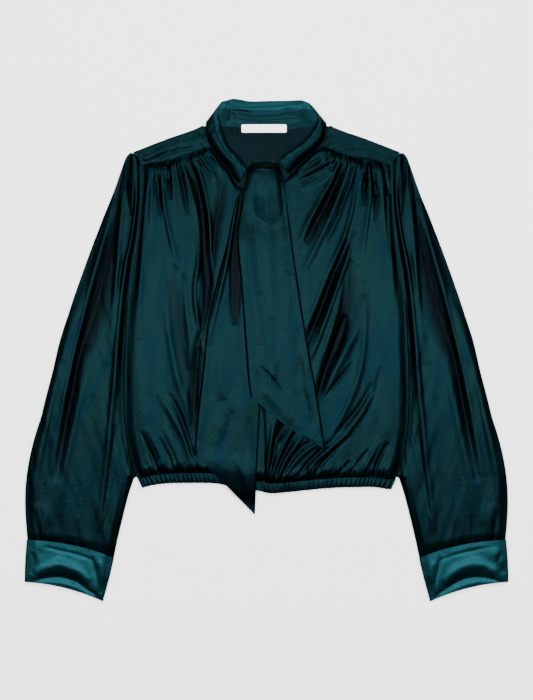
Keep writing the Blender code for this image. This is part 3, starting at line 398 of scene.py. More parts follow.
RIGHT_FRONT_FOLDS = (
    (-1.6, 0.0, ((104.4, 282.6, 2.1), (83.1, 274.1, 2.8), (61.8, 262.7, 3.1), (39.0, 249.9, 2.8))),
    (1.5, 0.0, ((107.2, 276.9, 2.6), (83.1, 265.5, 3.1), (58.9, 252.8, 3.5), (33.4, 240.0, 3.5))),
    (-1.4, 0.0, ((110.0, 274.1, 2.0), (90.2, 261.3, 2.6), (68.9, 249.9, 2.6), (47.6, 238.6, 2.6))),
    (1.2, 0.0, ((112.9, 269.8, 2.3), (94.4, 254.2, 2.8), (73.1, 241.4, 3.1), (49.0, 227.2, 3.1))),
    (-4.6, 0.0, ((117.1, 278.3, 2.8), (102.9, 248.5, 4.3), (93.0, 224.4, 5.7), (81.6, 201.6, 6.4),
          (70.3, 180.3, 5.7), (56.1, 150.5, 4.3))),
    (2.2, 0.0, ((107.2, 272.6, 2.8), (91.6, 238.6, 3.4), (77.4, 213.0, 4.3), (60.3, 181.8, 5.0),
          (44.7, 142.0, 5.7))),
    (2.2, 0.0, ((124.2, 272.6, 2.8), (110.0, 238.6, 3.1), (100.1, 213.0, 3.5), (87.3, 181.8, 4.3),
          (71.7, 149.1, 5.0), (53.2, 110.8, 5.0))),
    (-2.4, 0.0, ((128.5, 275.5, 2.3), (121.4, 244.2, 2.6), (110.0, 213.0, 2.8), (98.7, 181.8, 2.8),
          (84.5, 153.4, 2.3))),
    (2.4, 0.0, ((129.9, 269.8, 2.8), (123.5, 213.0, 3.4), (114.3, 173.2, 3.4), (102.9, 142.0, 3.7),
          (88.8, 106.5, 4.0), (74.5, 71.0, 4.3), (57.5, 28.4, 4.3))),
    (-5.2, 0.0, ((115.7, 156.2, 2.8), (105.8, 133.5, 4.8), (95.8, 110.8, 6.0), (85.9, 85.2, 6.0),
          (76.0, 56.8, 5.7), (64.6, 28.4, 5.7), (54.7, 0.0, 4.3))),
    (2.6, 0.0, ((124.2, 164.7, 2.8), (112.9, 125.0, 3.1), (101.5, 92.3, 3.4), (90.2, 59.6, 3.7),
          (76.0, 21.3, 3.7), (60.3, -17.0, 3.7))),
    (-3.4, 0.0, ((121.4, 127.8, 5.7), (118.6, 85.2, 8.5), (112.9, 54.0, 9.2), (104.4, 25.6, 7.8),
          (94.4, -7.1, 6.4))),
    (-5.0, 0.0, ((114.3, 49.7, 5.7), (102.9, 17.0, 7.1), (93.0, -5.7, 7.1), (83.1, -31.2, 6.4),
          (76.0, -56.8, 5.7), (71.7, -85.2, 4.3))),
    (1.8, 0.0, ((108.6, 102.2, 3.5), (101.5, 63.9, 4.3), (91.6, 28.4, 4.3), (78.8, -14.2, 4.3))),
    (2.0, 0.0, ((138.4, 78.1, 5.7), (127.1, 28.4, 7.1), (111.5, -2.8, 6.4), (97.3, -31.2, 5.7),
          (80.2, -71.0, 5.0))),
    (2.0, 0.0, ((137.0, 99.4, 5.0), (139.9, 49.7, 5.0), (138.4, 7.1, 5.0), (132.8, -28.4, 5.0),
          (121.4, -63.9, 5.0), (104.4, -99.4, 5.0), (84.5, -133.5, 4.3))),
    (-3.2, 0.0, ((137.7, 275.5, 2.6), (139.2, 248.5, 3.4), (138.4, 227.2, 3.4), (136.3, 204.5, 2.6))),
    (-3.2, 0.0, ((148.4, 275.5, 2.6), (152.7, 241.4, 3.4), (155.5, 213.0, 3.7), (154.1, 183.2, 2.8))),
    (-2.8, 0.0, ((164.0, 271.2, 2.6), (169.7, 244.2, 2.8), (173.9, 218.7, 2.8))),
    (2.0, 0.0, ((144.1, 269.8, 2.8), (147.0, 227.2, 3.1), (144.1, 196.0, 3.4), (138.4, 156.2, 4.3),
          (132.8, 119.3, 5.0))),
    (1.8, 0.0, ((159.8, 269.8, 2.8), (164.0, 227.2, 3.4), (166.8, 191.7, 4.3), (169.7, 149.1, 4.3),
          (172.5, 99.4, 4.3))),
    (2.0, 0.0, ((172.5, 267.0, 2.8), (173.9, 227.2, 2.8), (175.4, 170.4, 3.4), (178.2, 113.6, 3.7),
          (179.6, 49.7, 5.0))),
    (1.4, 0.0, ((182.5, 35.5, 9.9), (179.6, -28.4, 12.8), (175.4, -85.2, 11.4), (166.8, -134.9, 8.5))),
    (-1.8, 0.0, ((122.8, -17.0, 1.8), (108.6, -35.5, 2.1), (93.0, -54.0, 2.1), (77.4, -73.8, 1.8))),
    (-1.8, 0.0, ((149.8, -46.9, 2.1), (135.6, -73.8, 2.6), (121.4, -93.7, 2.6), (98.7, -119.3, 2.0))),
    (1.6, 0.0, ((151.2, -61.1, 4.3), (135.6, -88.0, 4.5), (118.6, -110.8, 4.5), (95.8, -140.6, 4.3))),
    (-1.2, 0.0, ((162.6, -22.7, 3.5), (152.7, -63.9, 4.3), (139.9, -96.6, 4.3))),
    (-4.2, 0.0, ((-3.5, -196.0, 2.1), (-5.0, -163.3, 3.4), (-5.7, -127.8, 4.0), (-6.4, -78.1, 4.0))),
    (2.2, 0.0, ((-0.7, -193.1, 2.1), (2.1, -163.3, 2.6), (6.4, -127.8, 3.1), (12.1, -92.3, 3.1))),
    (-2.6, 0.0, ((2.1, -193.1, 2.0), (7.8, -159.0, 2.3), (13.5, -130.6, 2.8), (20.6, -99.4, 4.8))),
    (-3.4, 0.0, ((14.9, -132.1, 2.8), (23.4, -110.8, 6.4), (30.5, -93.7, 5.7))),
    (2.2, 0.0, ((5.0, -191.7, 2.1), (14.9, -159.0, 2.6), (24.8, -134.9, 3.1), (37.6, -107.9, 3.4))),
    (-3.0, 0.0, ((9.2, -188.9, 2.0), (20.6, -156.2, 2.6), (31.9, -134.9, 3.1), (46.1, -109.3, 3.4))),
    (2.0, 0.0, ((13.5, -187.4, 2.0), (27.7, -156.2, 2.6), (40.5, -136.3, 2.8), (54.7, -117.9, 3.1))),
    (-2.0, 0.0, ((17.8, -186.0, 1.7), (34.8, -156.2, 2.1), (50.4, -137.7, 2.3), (67.5, -127.8, 2.3))),
    (1.6, 0.0, ((24.8, -183.2, 2.0), (43.3, -156.2, 2.6), (60.3, -140.6, 2.8), (78.8, -129.2, 2.8))),
    (-2.2, 0.0, ((41.9, -181.8, 1.8), (58.9, -160.5, 2.3), (73.1, -146.3, 2.6), (90.2, -129.2, 2.3))),
    (1.5, 0.0, ((53.2, -178.9, 2.1), (70.3, -156.2, 2.8), (87.3, -142.0, 3.1), (107.2, -122.1, 3.1))),
    (-2.2, 0.0, ((67.5, -177.5, 1.8), (83.1, -156.2, 2.3), (98.7, -140.6, 2.3), (118.6, -122.1, 1.8))),
    (-2.0, 0.0, ((95.8, -187.4, 1.7), (105.8, -171.8, 2.1), (118.6, -157.6, 2.1))),
    (-2.6, 0.0, ((148.4, -184.6, 2.0), (155.5, -164.7, 2.6), (162.6, -149.1, 2.6), (172.5, -130.6, 2.0))),
    (1.5, 0.0, ((134.2, -178.9, 2.8), (147.0, -153.4, 3.5), (159.8, -127.8, 4.3))),
    (-1.4, 0.0, ((117.1, -176.1, 2.0), (132.8, -156.2, 2.1), (145.5, -140.6, 2.1))),
)


def drawn_line(points, count):
    """A smooth line through a few points, closely spaced."""
    points = np.array(points, float)
    way = np.concatenate([[0.0], np.cumsum(np.hypot(*np.diff(points[:, :2], axis=0).T))])
    places = np.linspace(0.0, way[-1], count)
    return np.column_stack([smooth(way, points[:, column], places) for column in range(points.shape[1])])


LINE_POINTS = 8
FOLD_REACH = 2.4
RIDGE_FALL = 1.2
TROUGH_REACH = 1.6
TROUGH_CURVE = 1.3
END_CURVE = 0.55
FAR = 1e9


def fold_height(x, y, folds):
    """Height that the folds add at each place: a soft ridge along each line, or a trough below zero."""
    total = np.zeros_like(x)
    for height, lean, points in folds:
        line = drawn_line(points, LINE_POINTS * len(points))
        margin = FOLD_REACH * line[:, 2].max()
        low = line.min(axis=0) - margin
        high = line.max(axis=0) + margin
        near = (x > low[0]) & (x < high[0]) & (y > low[1]) & (y < high[1])
        if not near.any():
            continue
        near_x = x[near]
        near_y = y[near]
        best = np.full(near_x.shape, FAR)
        side = np.zeros_like(near_x)
        share = np.zeros_like(near_x)
        for number in range(len(line) - 1):
            ahead = line[number + 1, :2] - line[number, :2]
            from_x = near_x - line[number, 0]
            from_y = near_y - line[number, 1]
            way = np.clip((from_x * ahead[0] + from_y * ahead[1]) / (ahead @ ahead), 0, 1)
            off_x = from_x - way * ahead[0]
            off_y = from_y - way * ahead[1]
            distance = off_x ** 2 + off_y ** 2
            closer = distance < best
            best = np.where(closer, distance, best)
            side = np.where(closer, np.sign(ahead[0] * off_y - ahead[1] * off_x), side)
            share = np.where(closer, (number + way) / (len(line) - 1), share)
        width = np.interp(share, np.linspace(0, 1, len(line)), line[:, 2]) * (1 + lean * side)
        shape = np.exp(-RIDGE_FALL * best / width ** 2)
        if height < 0:
            shape = np.clip(1 - np.sqrt(best) / (TROUGH_REACH * width), 0, 1) ** TROUGH_CURVE
        total[near] += height * shape * np.sin(math.pi * share) ** END_CURVE
    return total


def uneven(x, y, step_x, step_y, seed):
    """Soft uneven values from -1 to 1 over a surface."""
    x, y = np.broadcast_arrays(x, y)
    places_x = x / step_x
    places_y = y / step_y
    cell_x = np.floor(places_x).astype(int)
    cell_y = np.floor(places_y).astype(int)
    share_x = step(places_x - cell_x)
    share_y = step(places_y - cell_y)
    cell_x -= cell_x.min()
    cell_y -= cell_y.min()
    values = np.random.default_rng(seed).uniform(-1, 1, (cell_x.max() + 2, cell_y.max() + 2))
    near = values[cell_x, cell_y] * (1 - share_x) + values[cell_x + 1, cell_y] * share_x
    far = values[cell_x, cell_y + 1] * (1 - share_x) + values[cell_x + 1, cell_y + 1] * share_x
    return near * (1 - share_y) + far * share_y


def hem_seam_y(x):
    """Height of the seam between the panels and the hem casing."""
    return table(HEM_EDGE, x) + CASING_DEPTH


def front_top(x, neckline, mirror):
    """Upper edge of a front: the yoke seam, then the neckline."""
    seam = table(YOKE_SEAM, np.abs(x))
    neck = table(neckline, x, True)
    return np.where(x * mirror >= YOKE_SEAM[0][0], seam, neck) - GAP


def seam_gathers(mirror, seed):
    """Short fine ridges all along the yoke seam, which fan out as the panel does."""
    rng = np.random.default_rng(seed)
    made = []
    place = FIRST_GATHER
    while place > LAST_GATHER:
        length = rng.uniform(*SEAM_GATHER_LENGTHS)
        fan = 0.03 + 0.55 * ((FIRST_GATHER - place) / (FIRST_GATHER - LAST_GATHER)) ** 2
        top = float(table(YOKE_SEAM, place))
        width = rng.uniform(1.6, 2.4)
        height = rng.uniform(0.9, 1.9)
        bend = rng.uniform(-1.0, 1.0)
        start = (mirror * place, top + SEWN_IN, width)
        middle = (mirror * (place - fan * length * 0.5 + bend), top - length * 0.5, width * 1.2)
        end = (mirror * (place - fan * length), top - length, width * 1.4)
        made.append((height, 0.0, (start, middle, end)))
        place -= rng.uniform(*SEAM_GATHER_STEPS)
    return tuple(made)


def hem_gathers(left, right, centre, seed):
    """Short fine ridges above the hem casing, which lean towards a centre."""
    rng = np.random.default_rng(seed)
    made = []
    place = left
    while place < right:
        length = rng.uniform(*HEM_GATHER_LENGTHS)
        foot = float(hem_seam_y(place))
        fan = 0.5 * (centre - place) / 200.0
        width = rng.uniform(1.5, 2.2)
        start = (place, foot - SEWN_IN, width)
        end = (place - fan * length, foot + length, width * 1.6)
        made.append((rng.uniform(0.7, 1.6), 0.0, (start, end)))
        place += rng.uniform(*HEM_GATHER_STEPS)
    return tuple(made)


def front_panel(neckline, mirror, centre_edge, folds, overlap, seed):
    """Points of a front panel, from its outline, its fullness and its folds, and the painted shade of each
    point in the troughs.
    """
    way = np.linspace(0.0, 1.0, FRONT_GRID[0])[:, None]
    share = np.linspace(0.0, 1.0, FRONT_GRID[1])[None, :]
    top = np.full(share.shape, YOKE_SEAM[-1][1] - 3.0)
    # the upper edge and the places across it depend on each other and settle in a few rounds
    for _ in range(8):
        x = mirror * side_x(top) * (1 - share) + centre_edge * share
        top = front_top(x, neckline, mirror)
    bottom = hem_seam_y(mirror * CASING_HALF_TOP * (1 - share) + centre_edge * share)
    y = top + (bottom - top) * way
    x = mirror * side_x(y) * (1 - share) + centre_edge * share
    from_side = side_x(y) - np.abs(x)
    from_top = top - y
    from_hem = y - bottom
    lift = step(from_side / SIDE_RISE + 0.04) * step(from_top / SEAM_RISE + 0.12)
    lift = lift * step(from_hem / HEM_RISE + 0.42)
    z = FRONT_LEVEL + FRONT_LIFT * lift
    ends = step(from_top / 3.0 + 0.3) * step(from_hem / 3.0 + 0.3) * step(from_side / 6.0)
    height = fold_height(x, y, folds)
    # painted shade: the deeper a trough, the darker its colour is painted
    fold_shade = DARKEST_FOLD_SHADE * step(-height / FULL_SHADE_DEPTH)
    z = z + ends * height
    z = z + ends * (0.35 * uneven(x, y, 9.0, 60.0, seed) + 0.18 * uneven(x, y, 4.5, 22.0, seed + 1))
    z = np.maximum(z, FRONT_LEVEL - 0.2)
    z = z + overlap * step((OVERLAP_END - x) / 14.0)
    rows = grid(x, y, z)
    return (rows, fold_shade) if mirror < 0 else (rows[:, ::-1], fold_shade[:, ::-1])


left_folds = LEFT_FRONT_FOLDS + seam_gathers(-1, 11) + hem_gathers(-172.0, 6.0, -40.0, 12)
front_left_rows, fold_shade = front_panel(LEFT_NECKLINE, -1, UNDERLAP_EDGE, left_folds, 0.0, 21)
front_left = shell("front_panel_left", front_left_rows, CLOTH, upright=True, fold_shade=fold_shade)
finish_piece(front_left, "front_left", satin)
right_folds = RIGHT_FRONT_FOLDS + seam_gathers(1, 13) + hem_gathers(6.0, 172.0, 20.0, 14)
front_right_rows, fold_shade = front_panel(RIGHT_NECKLINE, 1, OVERLAP_EDGE, right_folds, OVERLAP_LIFT, 23)
front_right = shell("front_panel_right", front_right_rows, CLOTH, upright=True, fold_shade=fold_shade)
finish_piece(front_right, "front_right", satin)


# Yoke: one piece of satin. It lies flat behind the neck, folds over at both shoulders and comes down
# to the two front seams, where the gathered fronts are let in under it.
SHOULDER_LINE = ((89.8, 319.0), (96.0, 316.0), (140.0, 300.0), (189.0, 281.0))
BACK_NECKLINE = ((-89.8, 317.0), (-63.0, 316.6), (-36.0, 315.0), (-3.5, 313.0), (29.0, 312.5),
                 (63.0, 315.6), (89.8, 317.0))
YOKE_BACK_LEVEL = 0.5
YOKE_FRONT_LEVEL = 2.9
YOKE_CROWN = 1.5
SHOULDER_INSET = 1.4
NECKLINE_OVERLAP = 1.4
INSIDE_SHADE = 0.5
YOKE_FOLDS = (
    (0.9, 0.0, ((-182.5, 268.4, 3.5), (-158.3, 279.7, 4.3), (-134.2, 289.7, 4.3), (-105.8, 302.5, 4.3))),
    (-0.9, 0.0, ((-175.4, 264.1, 2.6), (-151.2, 274.1, 3.1), (-125.7, 282.6, 3.4), (-97.3, 288.3, 2.8))),
    (-0.9, 0.0, ((-168.3, 284.0, 2.8), (-144.1, 293.9, 3.1), (-120.0, 303.9, 2.8), (-97.3, 311.0, 2.8))),
    (0.8, 0.0, ((-165.4, 289.7, 2.8), (-139.9, 298.2, 3.1), (-117.1, 308.1, 2.8), (-97.3, 314.5, 2.8))),
    (-0.8, 0.0, ((-188.1, 278.3, 2.1), (-179.6, 272.6, 2.6), (-171.1, 264.1, 2.1))),
    (0.8, 0.0, ((-94.4, 315.2, 2.6), (-93.0, 303.9, 2.8), (-88.8, 289.7, 2.8))),
    (-1.0, 0.0, ((-88.8, 318.1, 2.3), (-86.6, 303.9, 2.6), (-81.6, 288.3, 2.3))),
    (0.9, 0.0, ((90.2, 285.4, 2.8), (110.0, 293.9, 3.5), (129.9, 296.8, 4.3), (155.5, 289.7, 4.3),
          (178.2, 275.5, 3.5))),
    (-0.9, 0.0, ((98.7, 289.7, 2.6), (121.4, 302.5, 3.1), (147.0, 299.6, 3.4), (172.5, 284.0, 2.8))),
    (-0.9, 0.0, ((104.4, 276.9, 2.6), (127.1, 284.0, 3.1), (149.8, 279.7, 3.1), (172.5, 268.4, 2.6))),
    (0.8, 0.0, ((118.6, 269.8, 2.6), (138.4, 274.1, 2.8), (161.2, 267.0, 2.8))),
    (-0.9, 0.0, ((85.9, 311.0, 2.3), (83.1, 298.2, 2.8), (78.8, 286.8, 2.3))),
    (1.0, 0.0, ((90.2, 308.1, 2.3), (87.3, 295.4, 2.8), (84.5, 285.4, 2.3))),
)

# Shares across a shoulder and along the back and front, closer together near the fold
shoulder_shares = np.concatenate([np.linspace(0.0, 0.97, 62), [1.0]])
back_ways = np.concatenate([np.linspace(1.0, 0.1, 8), np.linspace(0.07, 0.0, 3)])
front_ways = np.concatenate([np.linspace(0.0, 0.12, 4)[1:], np.linspace(0.12, 1.0, 22)[1:]])
neck_shares = np.linspace(0.0, 1.0, 50)[1:-1]
SHOULDER_TURN = np.radians((-60.0, -25.0, 25.0, 60.0))[:, None]


def yoke_shoulder(mirror):
    """Columns over one shoulder, from the back seam to the front seam."""
    share = shoulder_shares[None, :]
    tip_x, tip_y = SHOULDER_LINE[-1]
    collar_x = SHOULDER_LINE[0][0]
    line_x = tip_x + (collar_x - tip_x) * share
    line_y = table(SHOULDER_LINE, line_x) - SHOULDER_INSET
    tip_y = tip_y - SHOULDER_INSET
    seam_x = YOKE_SEAM[-1][0] + (YOKE_SEAM[0][0] - YOKE_SEAM[-1][0]) * share
    seam_y = table(YOKE_SEAM, seam_x)

    way = back_ways[:, None]
    y_back = line_y + (BACK_YOKE_SEAM - line_y) * way
    edge_x = side_x(tip_y + (BACK_YOKE_SEAM - tip_y) * way)
    x_back = edge_x + (collar_x - edge_x) * share

    half = (YOKE_FRONT_LEVEL - YOKE_BACK_LEVEL) / 2
    y_turn = line_y + SHOULDER_INSET * 0.9 * np.cos(SHOULDER_TURN)
    z_turn = YOKE_BACK_LEVEL + half + half * np.sin(SHOULDER_TURN)

    way = front_ways[:, None]
    y_front = line_y + (seam_y - line_y) * way
    edge_x = side_x(tip_y + (YOKE_SEAM[-1][1] - tip_y) * way)
    neck_x = collar_x + (YOKE_SEAM[0][0] - collar_x) * way
    x_front = edge_x + (neck_x - edge_x) * share
    side = step((edge_x - x_front) / 10.0)
    z_front = YOKE_FRONT_LEVEL + YOKE_CROWN * np.sin(math.pi * way) ** 0.8 * (0.3 + 0.7 * side)
    folds = fold_height(mirror * x_front, y_front, YOKE_FOLDS)
    folds = folds + 0.3 * uneven(x_front + y_front * 0.8, y_front, 6.0, 24.0, 31 if mirror < 0 else 32)
    z_front = z_front + step(way * 3) * step((1 - way) * 4 + 0.2) * folds
    return np.concatenate([grid(mirror * x_back, y_back, YOKE_BACK_LEVEL),
                           grid(mirror * line_x, y_turn, z_turn),
                           grid(mirror * x_front, y_front, z_front)])


left_yoke = yoke_shoulder(-1)
right_yoke = yoke_shoulder(1)[:, ::-1]
neck_x = SHOULDER_LINE[0][0] * (2 * neck_shares[None, :] - 1)
neck_top = table(BACK_NECKLINE, neck_x) + NECKLINE_OVERLAP
neck_y = neck_top + (BACK_YOKE_SEAM - neck_top) * back_ways[:, None]
neck_z = YOKE_BACK_LEVEL + step((1 - back_ways[:, None]) * 3) * 0.4 * uneven(neck_x, neck_y, 22.0, 16.0, 33)
neck_rows = grid(neck_x, neck_y, np.maximum(neck_z, YOKE_BACK_LEVEL - 0.1))
missing = len(left_yoke) - len(neck_rows)
neck_rows = np.concatenate([neck_rows, np.repeat(neck_rows[-1:], missing, axis=0)])
yoke_rows = np.concatenate([left_yoke, neck_rows, right_yoke], axis=1)
neck_start = left_yoke.shape[1]
neck_end = neck_start + neck_rows.shape[1]
yoke_kept = np.ones((yoke_rows.shape[0] - 1, yoke_rows.shape[1] - 1), bool)
yoke_kept[len(back_ways) - 1:, neck_start - 1:neck_end] = False
# painted shade: the inside of the back neckline is darkened through the painted fold shade
neck_inside_shade = np.zeros(yoke_rows.shape[:2])
neck_inside_shade[:, neck_start:neck_end] = INSIDE_SHADE
yoke = shell("yoke_panel", yoke_rows, CLOTH, kept=yoke_kept, fold_shade=neck_inside_shade)
finish_piece(yoke, "yoke", satin)


# Hem casing: a band of satin folded over elastic and gathered all along, one length at the back and
# one on each front. The gathers are small, close and uneven.
DOUBLE_CLOTH = 1.2
CASING_HALF_EDGE = 176.5
CASING_LEVEL = 2.5
CASING_STEP = 1.05
GATHER_PITCH = 6.4
CASING_LEFT_ENDS = ((-CASING_HALF_TOP, -CASING_HALF_EDGE), (11.0, 10.0))
CASING_RIGHT_ENDS = ((OVERLAP_EDGE, -5.0), (CASING_HALF_TOP, CASING_HALF_EDGE))
CASING_OVERLAP_LIFT = 2.2


def wave_up(turns):
    """A wave from 0 to 1 and back in each turn."""
    return 0.5 - 0.5 * np.cos(2 * math.pi * turns)


def casing(left_end, right_end, overlap, flat_from, seed):
    """Points of a gathered band between the panel and the hem edge, flat from a place on."""
    columns = int((right_end[0] - left_end[0]) / CASING_STEP)
    share = np.linspace(0.0, 1.0, columns)[None, :]
    way = np.linspace(0.0, 1.0, 13)[:, None]
    top_x = left_end[0] + (right_end[0] - left_end[0]) * share
    low_x = left_end[1] + (right_end[1] - left_end[1]) * share
    x = top_x + (low_x - top_x) * way
    turns = top_x / GATHER_PITCH + 0.32 * uneven(top_x, 0.0, 13.0, 10.0, seed)
    size = 0.75 + 0.4 * uneven(top_x, 0.0, GATHER_PITCH, 10.0, seed + 1)
    top_y = hem_seam_y(top_x) - GAP
    low_y = table(HEM_EDGE, low_x) - 0.9 * (wave_up(turns) * size - 0.5)
    y = top_y + (low_y - top_y) * way
    sway = 0.6 * uneven(x, y, 9.0, 5.0, seed + 2)
    swell = 0.7 * np.sin(math.pi * np.minimum(way * 0.9 + 0.1, 1.0)) ** 0.5
    ridges = 1.2 * wave_up(turns + 0.10 * sway) * size
    level = CASING_LEVEL + overlap * step((OVERLAP_END - x) / 16.0)
    return grid(x, y, level + step((flat_from - x) / 10.0) * (swell + ridges))


share = np.linspace(-1.0, 1.0, 120)[None, :]
way = np.linspace(0.0, 1.0, 10)[:, None]
casing_x = (CASING_HALF_TOP + (CASING_HALF_EDGE - CASING_HALF_TOP) * way) * share
casing_top = np.minimum(hem_seam_y(casing_x), BACK_BOTTOM) - GAP
casing_low = table(HEM_EDGE, casing_x) + 1.0
casing_back_rows = grid(casing_x, casing_top + (casing_low - casing_top) * way, BACK_LEVEL + 0.1)
casing_back = shell("casing_back_band", casing_back_rows, CLOTH)
finish_piece(casing_back, "casing_back", satin)
casing_left_rows = casing(*CASING_LEFT_ENDS, 0.0, -12.0, 41)
casing_left = shell("casing_band_left", casing_left_rows, DOUBLE_CLOTH, upright=True)
finish_piece(casing_left, "casing_front_left", satin)
casing_right_rows = casing(*CASING_RIGHT_ENDS, CASING_OVERLAP_LIFT, math.inf, 44)
casing_right = shell("casing_band_right", casing_right_rows, DOUBLE_CLOTH, upright=True)
finish_piece(casing_right, "casing_front_right", satin)


# Sleeves: long and full, each one tube of satin that lies flat. The upper layer carries long folds
# from the shoulder to the cuff. The lower layer is plain and rests on the surface.
# Each row has the outer edge's x and y, the inner edge's y, and its bow towards the collar.
SLEEVE_ROWS = (
    (-193.0, 279.8, 278.8, 0.0), (-196.0, 277.5, 274.6, 0.0), (-200.0, 271.5, 269.0, 0.0),
    (-203.0, 263.5, 262.8, 0.0), (-208.0, 249.0, 248.0, 0.0), (-215.5, 227.5, 227.0, 0.0),
    (-229.5, 193.0, 193.0, 0.0), (-243.5, 157.0, 157.0, 0.0), (-256.5, 122.0, 122.0, 0.0),
    (-266.5, 94.0, 95.0, 0.0), (-273.5, 74.0, 74.6, 0.0), (-281.0, 51.0, 51.0, 0.0),
    (-292.5, 15.5, 16.0, 0.0), (-304.0, -32.5, -30.0, 0.0), (-314.0, -71.0, -68.0, 0.0),
    (-320.5, -97.0, -95.0, 0.0), (-327.0, -117.0, -118.0, 0.0), (-333.0, -139.0, -144.0, 0.0),
    (-340.0, -176.0, -182.0, 1.0), (-342.5, -216.5, -221.5, 2.0), (-341.3, -244.0, -258.5, 4.0),
    (-339.0, -270.5, -295.5, 6.0),
)
SLEEVE_INNER = ((-182.0, 188.5), (-201.0, 194.7), (-234.0, 203.3), (-271.0, 212.1), (-296.0, 217.3))
SLEEVE_OPEN_ROWS = 10
SLEEVE_OPEN_RINGS = 96
SLEEVE_CLOSED_RINGS = 150
SLEEVE_TOP_POINTS = 92
SLEEVE_LEVELS = (0.5, 3.5)
SLEEVE_LIFT = 3.7
SLEEVE_FULL_SHADE_DEPTH = 4.2
SLEEVE_INSET = 1.4
SEWN_INSET = 0.05
LOW_POINTS = 9
EDGE_TURN = np.radians((-60.0, -25.0, 0.0, 25.0, 60.0))[None, :]
SLEEVE_FOLDS = (
    (-5.2, 0.1, ((-205.2, 258.4, 4.3), (-211.6, 205.9, 5.7), (-219.4, 159.0, 7.8),
          (-227.9, 116.4, 10.6), (-239.3, 71.0, 12.8), (-253.5, 28.4, 12.8), (-264.8, -7.1, 10.6),
          (-271.9, -42.6, 9.2), (-279.0, -78.1, 8.5), (-284.7, -106.5, 8.5), (-291.8, -142.0, 7.1),
          (-297.5, -187.4, 5.0))),
    (2.6, 0.0, ((-218.0, 215.8, 4.3), (-230.8, 159.0, 5.0), (-242.1, 113.6, 5.0), (-253.5, 71.0, 4.3),
          (-264.1, 28.4, 3.7), (-273.3, -8.5, 3.7), (-281.9, -49.7, 4.0), (-289.0, -85.2, 4.0),
          (-296.1, -127.8, 4.3), (-304.6, -177.5, 5.7))),
    (2.2, 0.0, ((-198.8, 269.8, 3.1), (-202.3, 227.2, 3.7), (-206.6, 184.6, 4.3), (-210.9, 127.8, 4.3),
          (-215.1, 71.0, 4.5), (-219.4, 21.3, 6.4), (-225.1, -21.3, 8.5))),
    (-3.6, 0.0, ((-195.2, 284.0, 3.1), (-193.8, 248.5, 4.0), (-192.4, 220.1, 3.7), (-191.0, 190.3, 2.8))),
    (3.2, 0.0, ((-184.6, 275.5, 2.6), (-183.2, 234.3, 2.8), (-185.3, 198.8, 3.1), (-190.3, 163.3, 3.5),
          (-198.1, 125.0, 4.3), (-203.8, 85.2, 4.8), (-208.0, 42.6, 4.8), (-212.3, 0.0, 4.8),
          (-216.5, -56.8, 4.8), (-220.8, -99.4, 5.4), (-226.5, -170.4, 5.7), (-232.2, -213.0, 5.7),
          (-237.8, -258.4, 4.3))),
    (-1.6, 0.0, ((-188.9, 255.6, 2.1), (-188.1, 220.1, 2.3), (-191.0, 187.4, 2.3),
          (-196.7, 153.4, 2.6), (-205.2, 119.3, 2.8), (-209.4, 85.2, 2.8))),
    (1.8, 0.0, ((-253.5, 7.1, 8.5), (-259.1, -28.4, 8.5), (-266.2, -71.0, 7.1), (-274.8, -113.6, 7.1),
          (-283.3, -156.2, 7.1), (-291.8, -198.8, 8.5), (-306.0, -248.5, 8.5))),
    (1.6, 0.0, ((-270.5, 63.9, 5.7), (-283.3, 14.2, 6.4), (-296.1, -35.5, 7.1), (-307.4, -85.2, 7.1),
          (-317.4, -127.8, 7.1), (-325.9, -170.4, 7.1), (-330.1, -213.0, 5.7))),
    (-1.5, 0.0, ((-287.6, -14.2, 4.3), (-296.1, -56.8, 4.3), (-303.2, -92.3, 4.3),
          (-310.3, -134.9, 5.0), (-315.9, -177.5, 5.7), (-320.2, -220.1, 5.7))),
    (-1.2, 0.0, ((-242.1, -63.9, 7.1), (-244.9, -113.6, 8.5), (-247.8, -170.4, 9.9),
          (-250.6, -227.2, 8.5), (-253.5, -269.8, 7.1))),
    (-1.8, 0.0, ((-213.7, -106.5, 3.5), (-219.4, -149.1, 3.5), (-225.1, -191.7, 3.5),
          (-230.8, -234.3, 2.8))),
    (-0.9, 0.0, ((-200.9, -125.0, 1.3), (-208.0, -150.5, 1.3), (-213.7, -173.2, 1.3),
          (-219.4, -198.8, 1.3), (-226.5, -234.3, 1.3), (-232.2, -255.6, 1.3), (-236.0, -279.7, 1.3))),
    (0.8, 0.0, ((-195.2, -134.9, 3.5), (-202.3, -163.3, 4.3), (-209.4, -198.8, 4.3),
          (-216.5, -234.3, 4.3), (-225.1, -276.9, 3.5))),
    (1.2, 0.0, ((-188.1, -144.8, 2.6), (-195.2, -177.5, 2.6), (-202.3, -213.0, 2.6),
          (-209.4, -248.5, 2.3), (-215.1, -284.0, 2.0))),
    (1.3, 0.0, ((-212.3, 248.5, 2.8), (-220.8, 220.1, 3.1), (-232.2, 184.6, 3.4), (-242.1, 149.1, 3.1))),
    (-1.2, 0.0, ((-327.3, -227.2, 2.8), (-324.5, -248.5, 3.5), (-321.6, -271.2, 2.8))),
    (1.0, 0.0, ((-314.5, -220.1, 4.3), (-315.9, -248.5, 4.3), (-318.8, -271.2, 3.5))),
    (-0.9, 0.0, ((-290.4, -234.3, 2.8), (-291.8, -255.6, 2.8), (-294.6, -276.9, 2.3))),
    (-0.9, 0.0, ((-267.7, -241.4, 2.8), (-267.7, -262.7, 2.8), (-267.7, -281.2, 2.3))),
)


def sleeve_inner_x(y):
    """Distance from the middle to the inner edge of a sleeve."""
    return np.where(y >= SLEEVE_INNER[0][0] + 1.0, side_x(y) + GAP, table(SLEEVE_INNER, y))


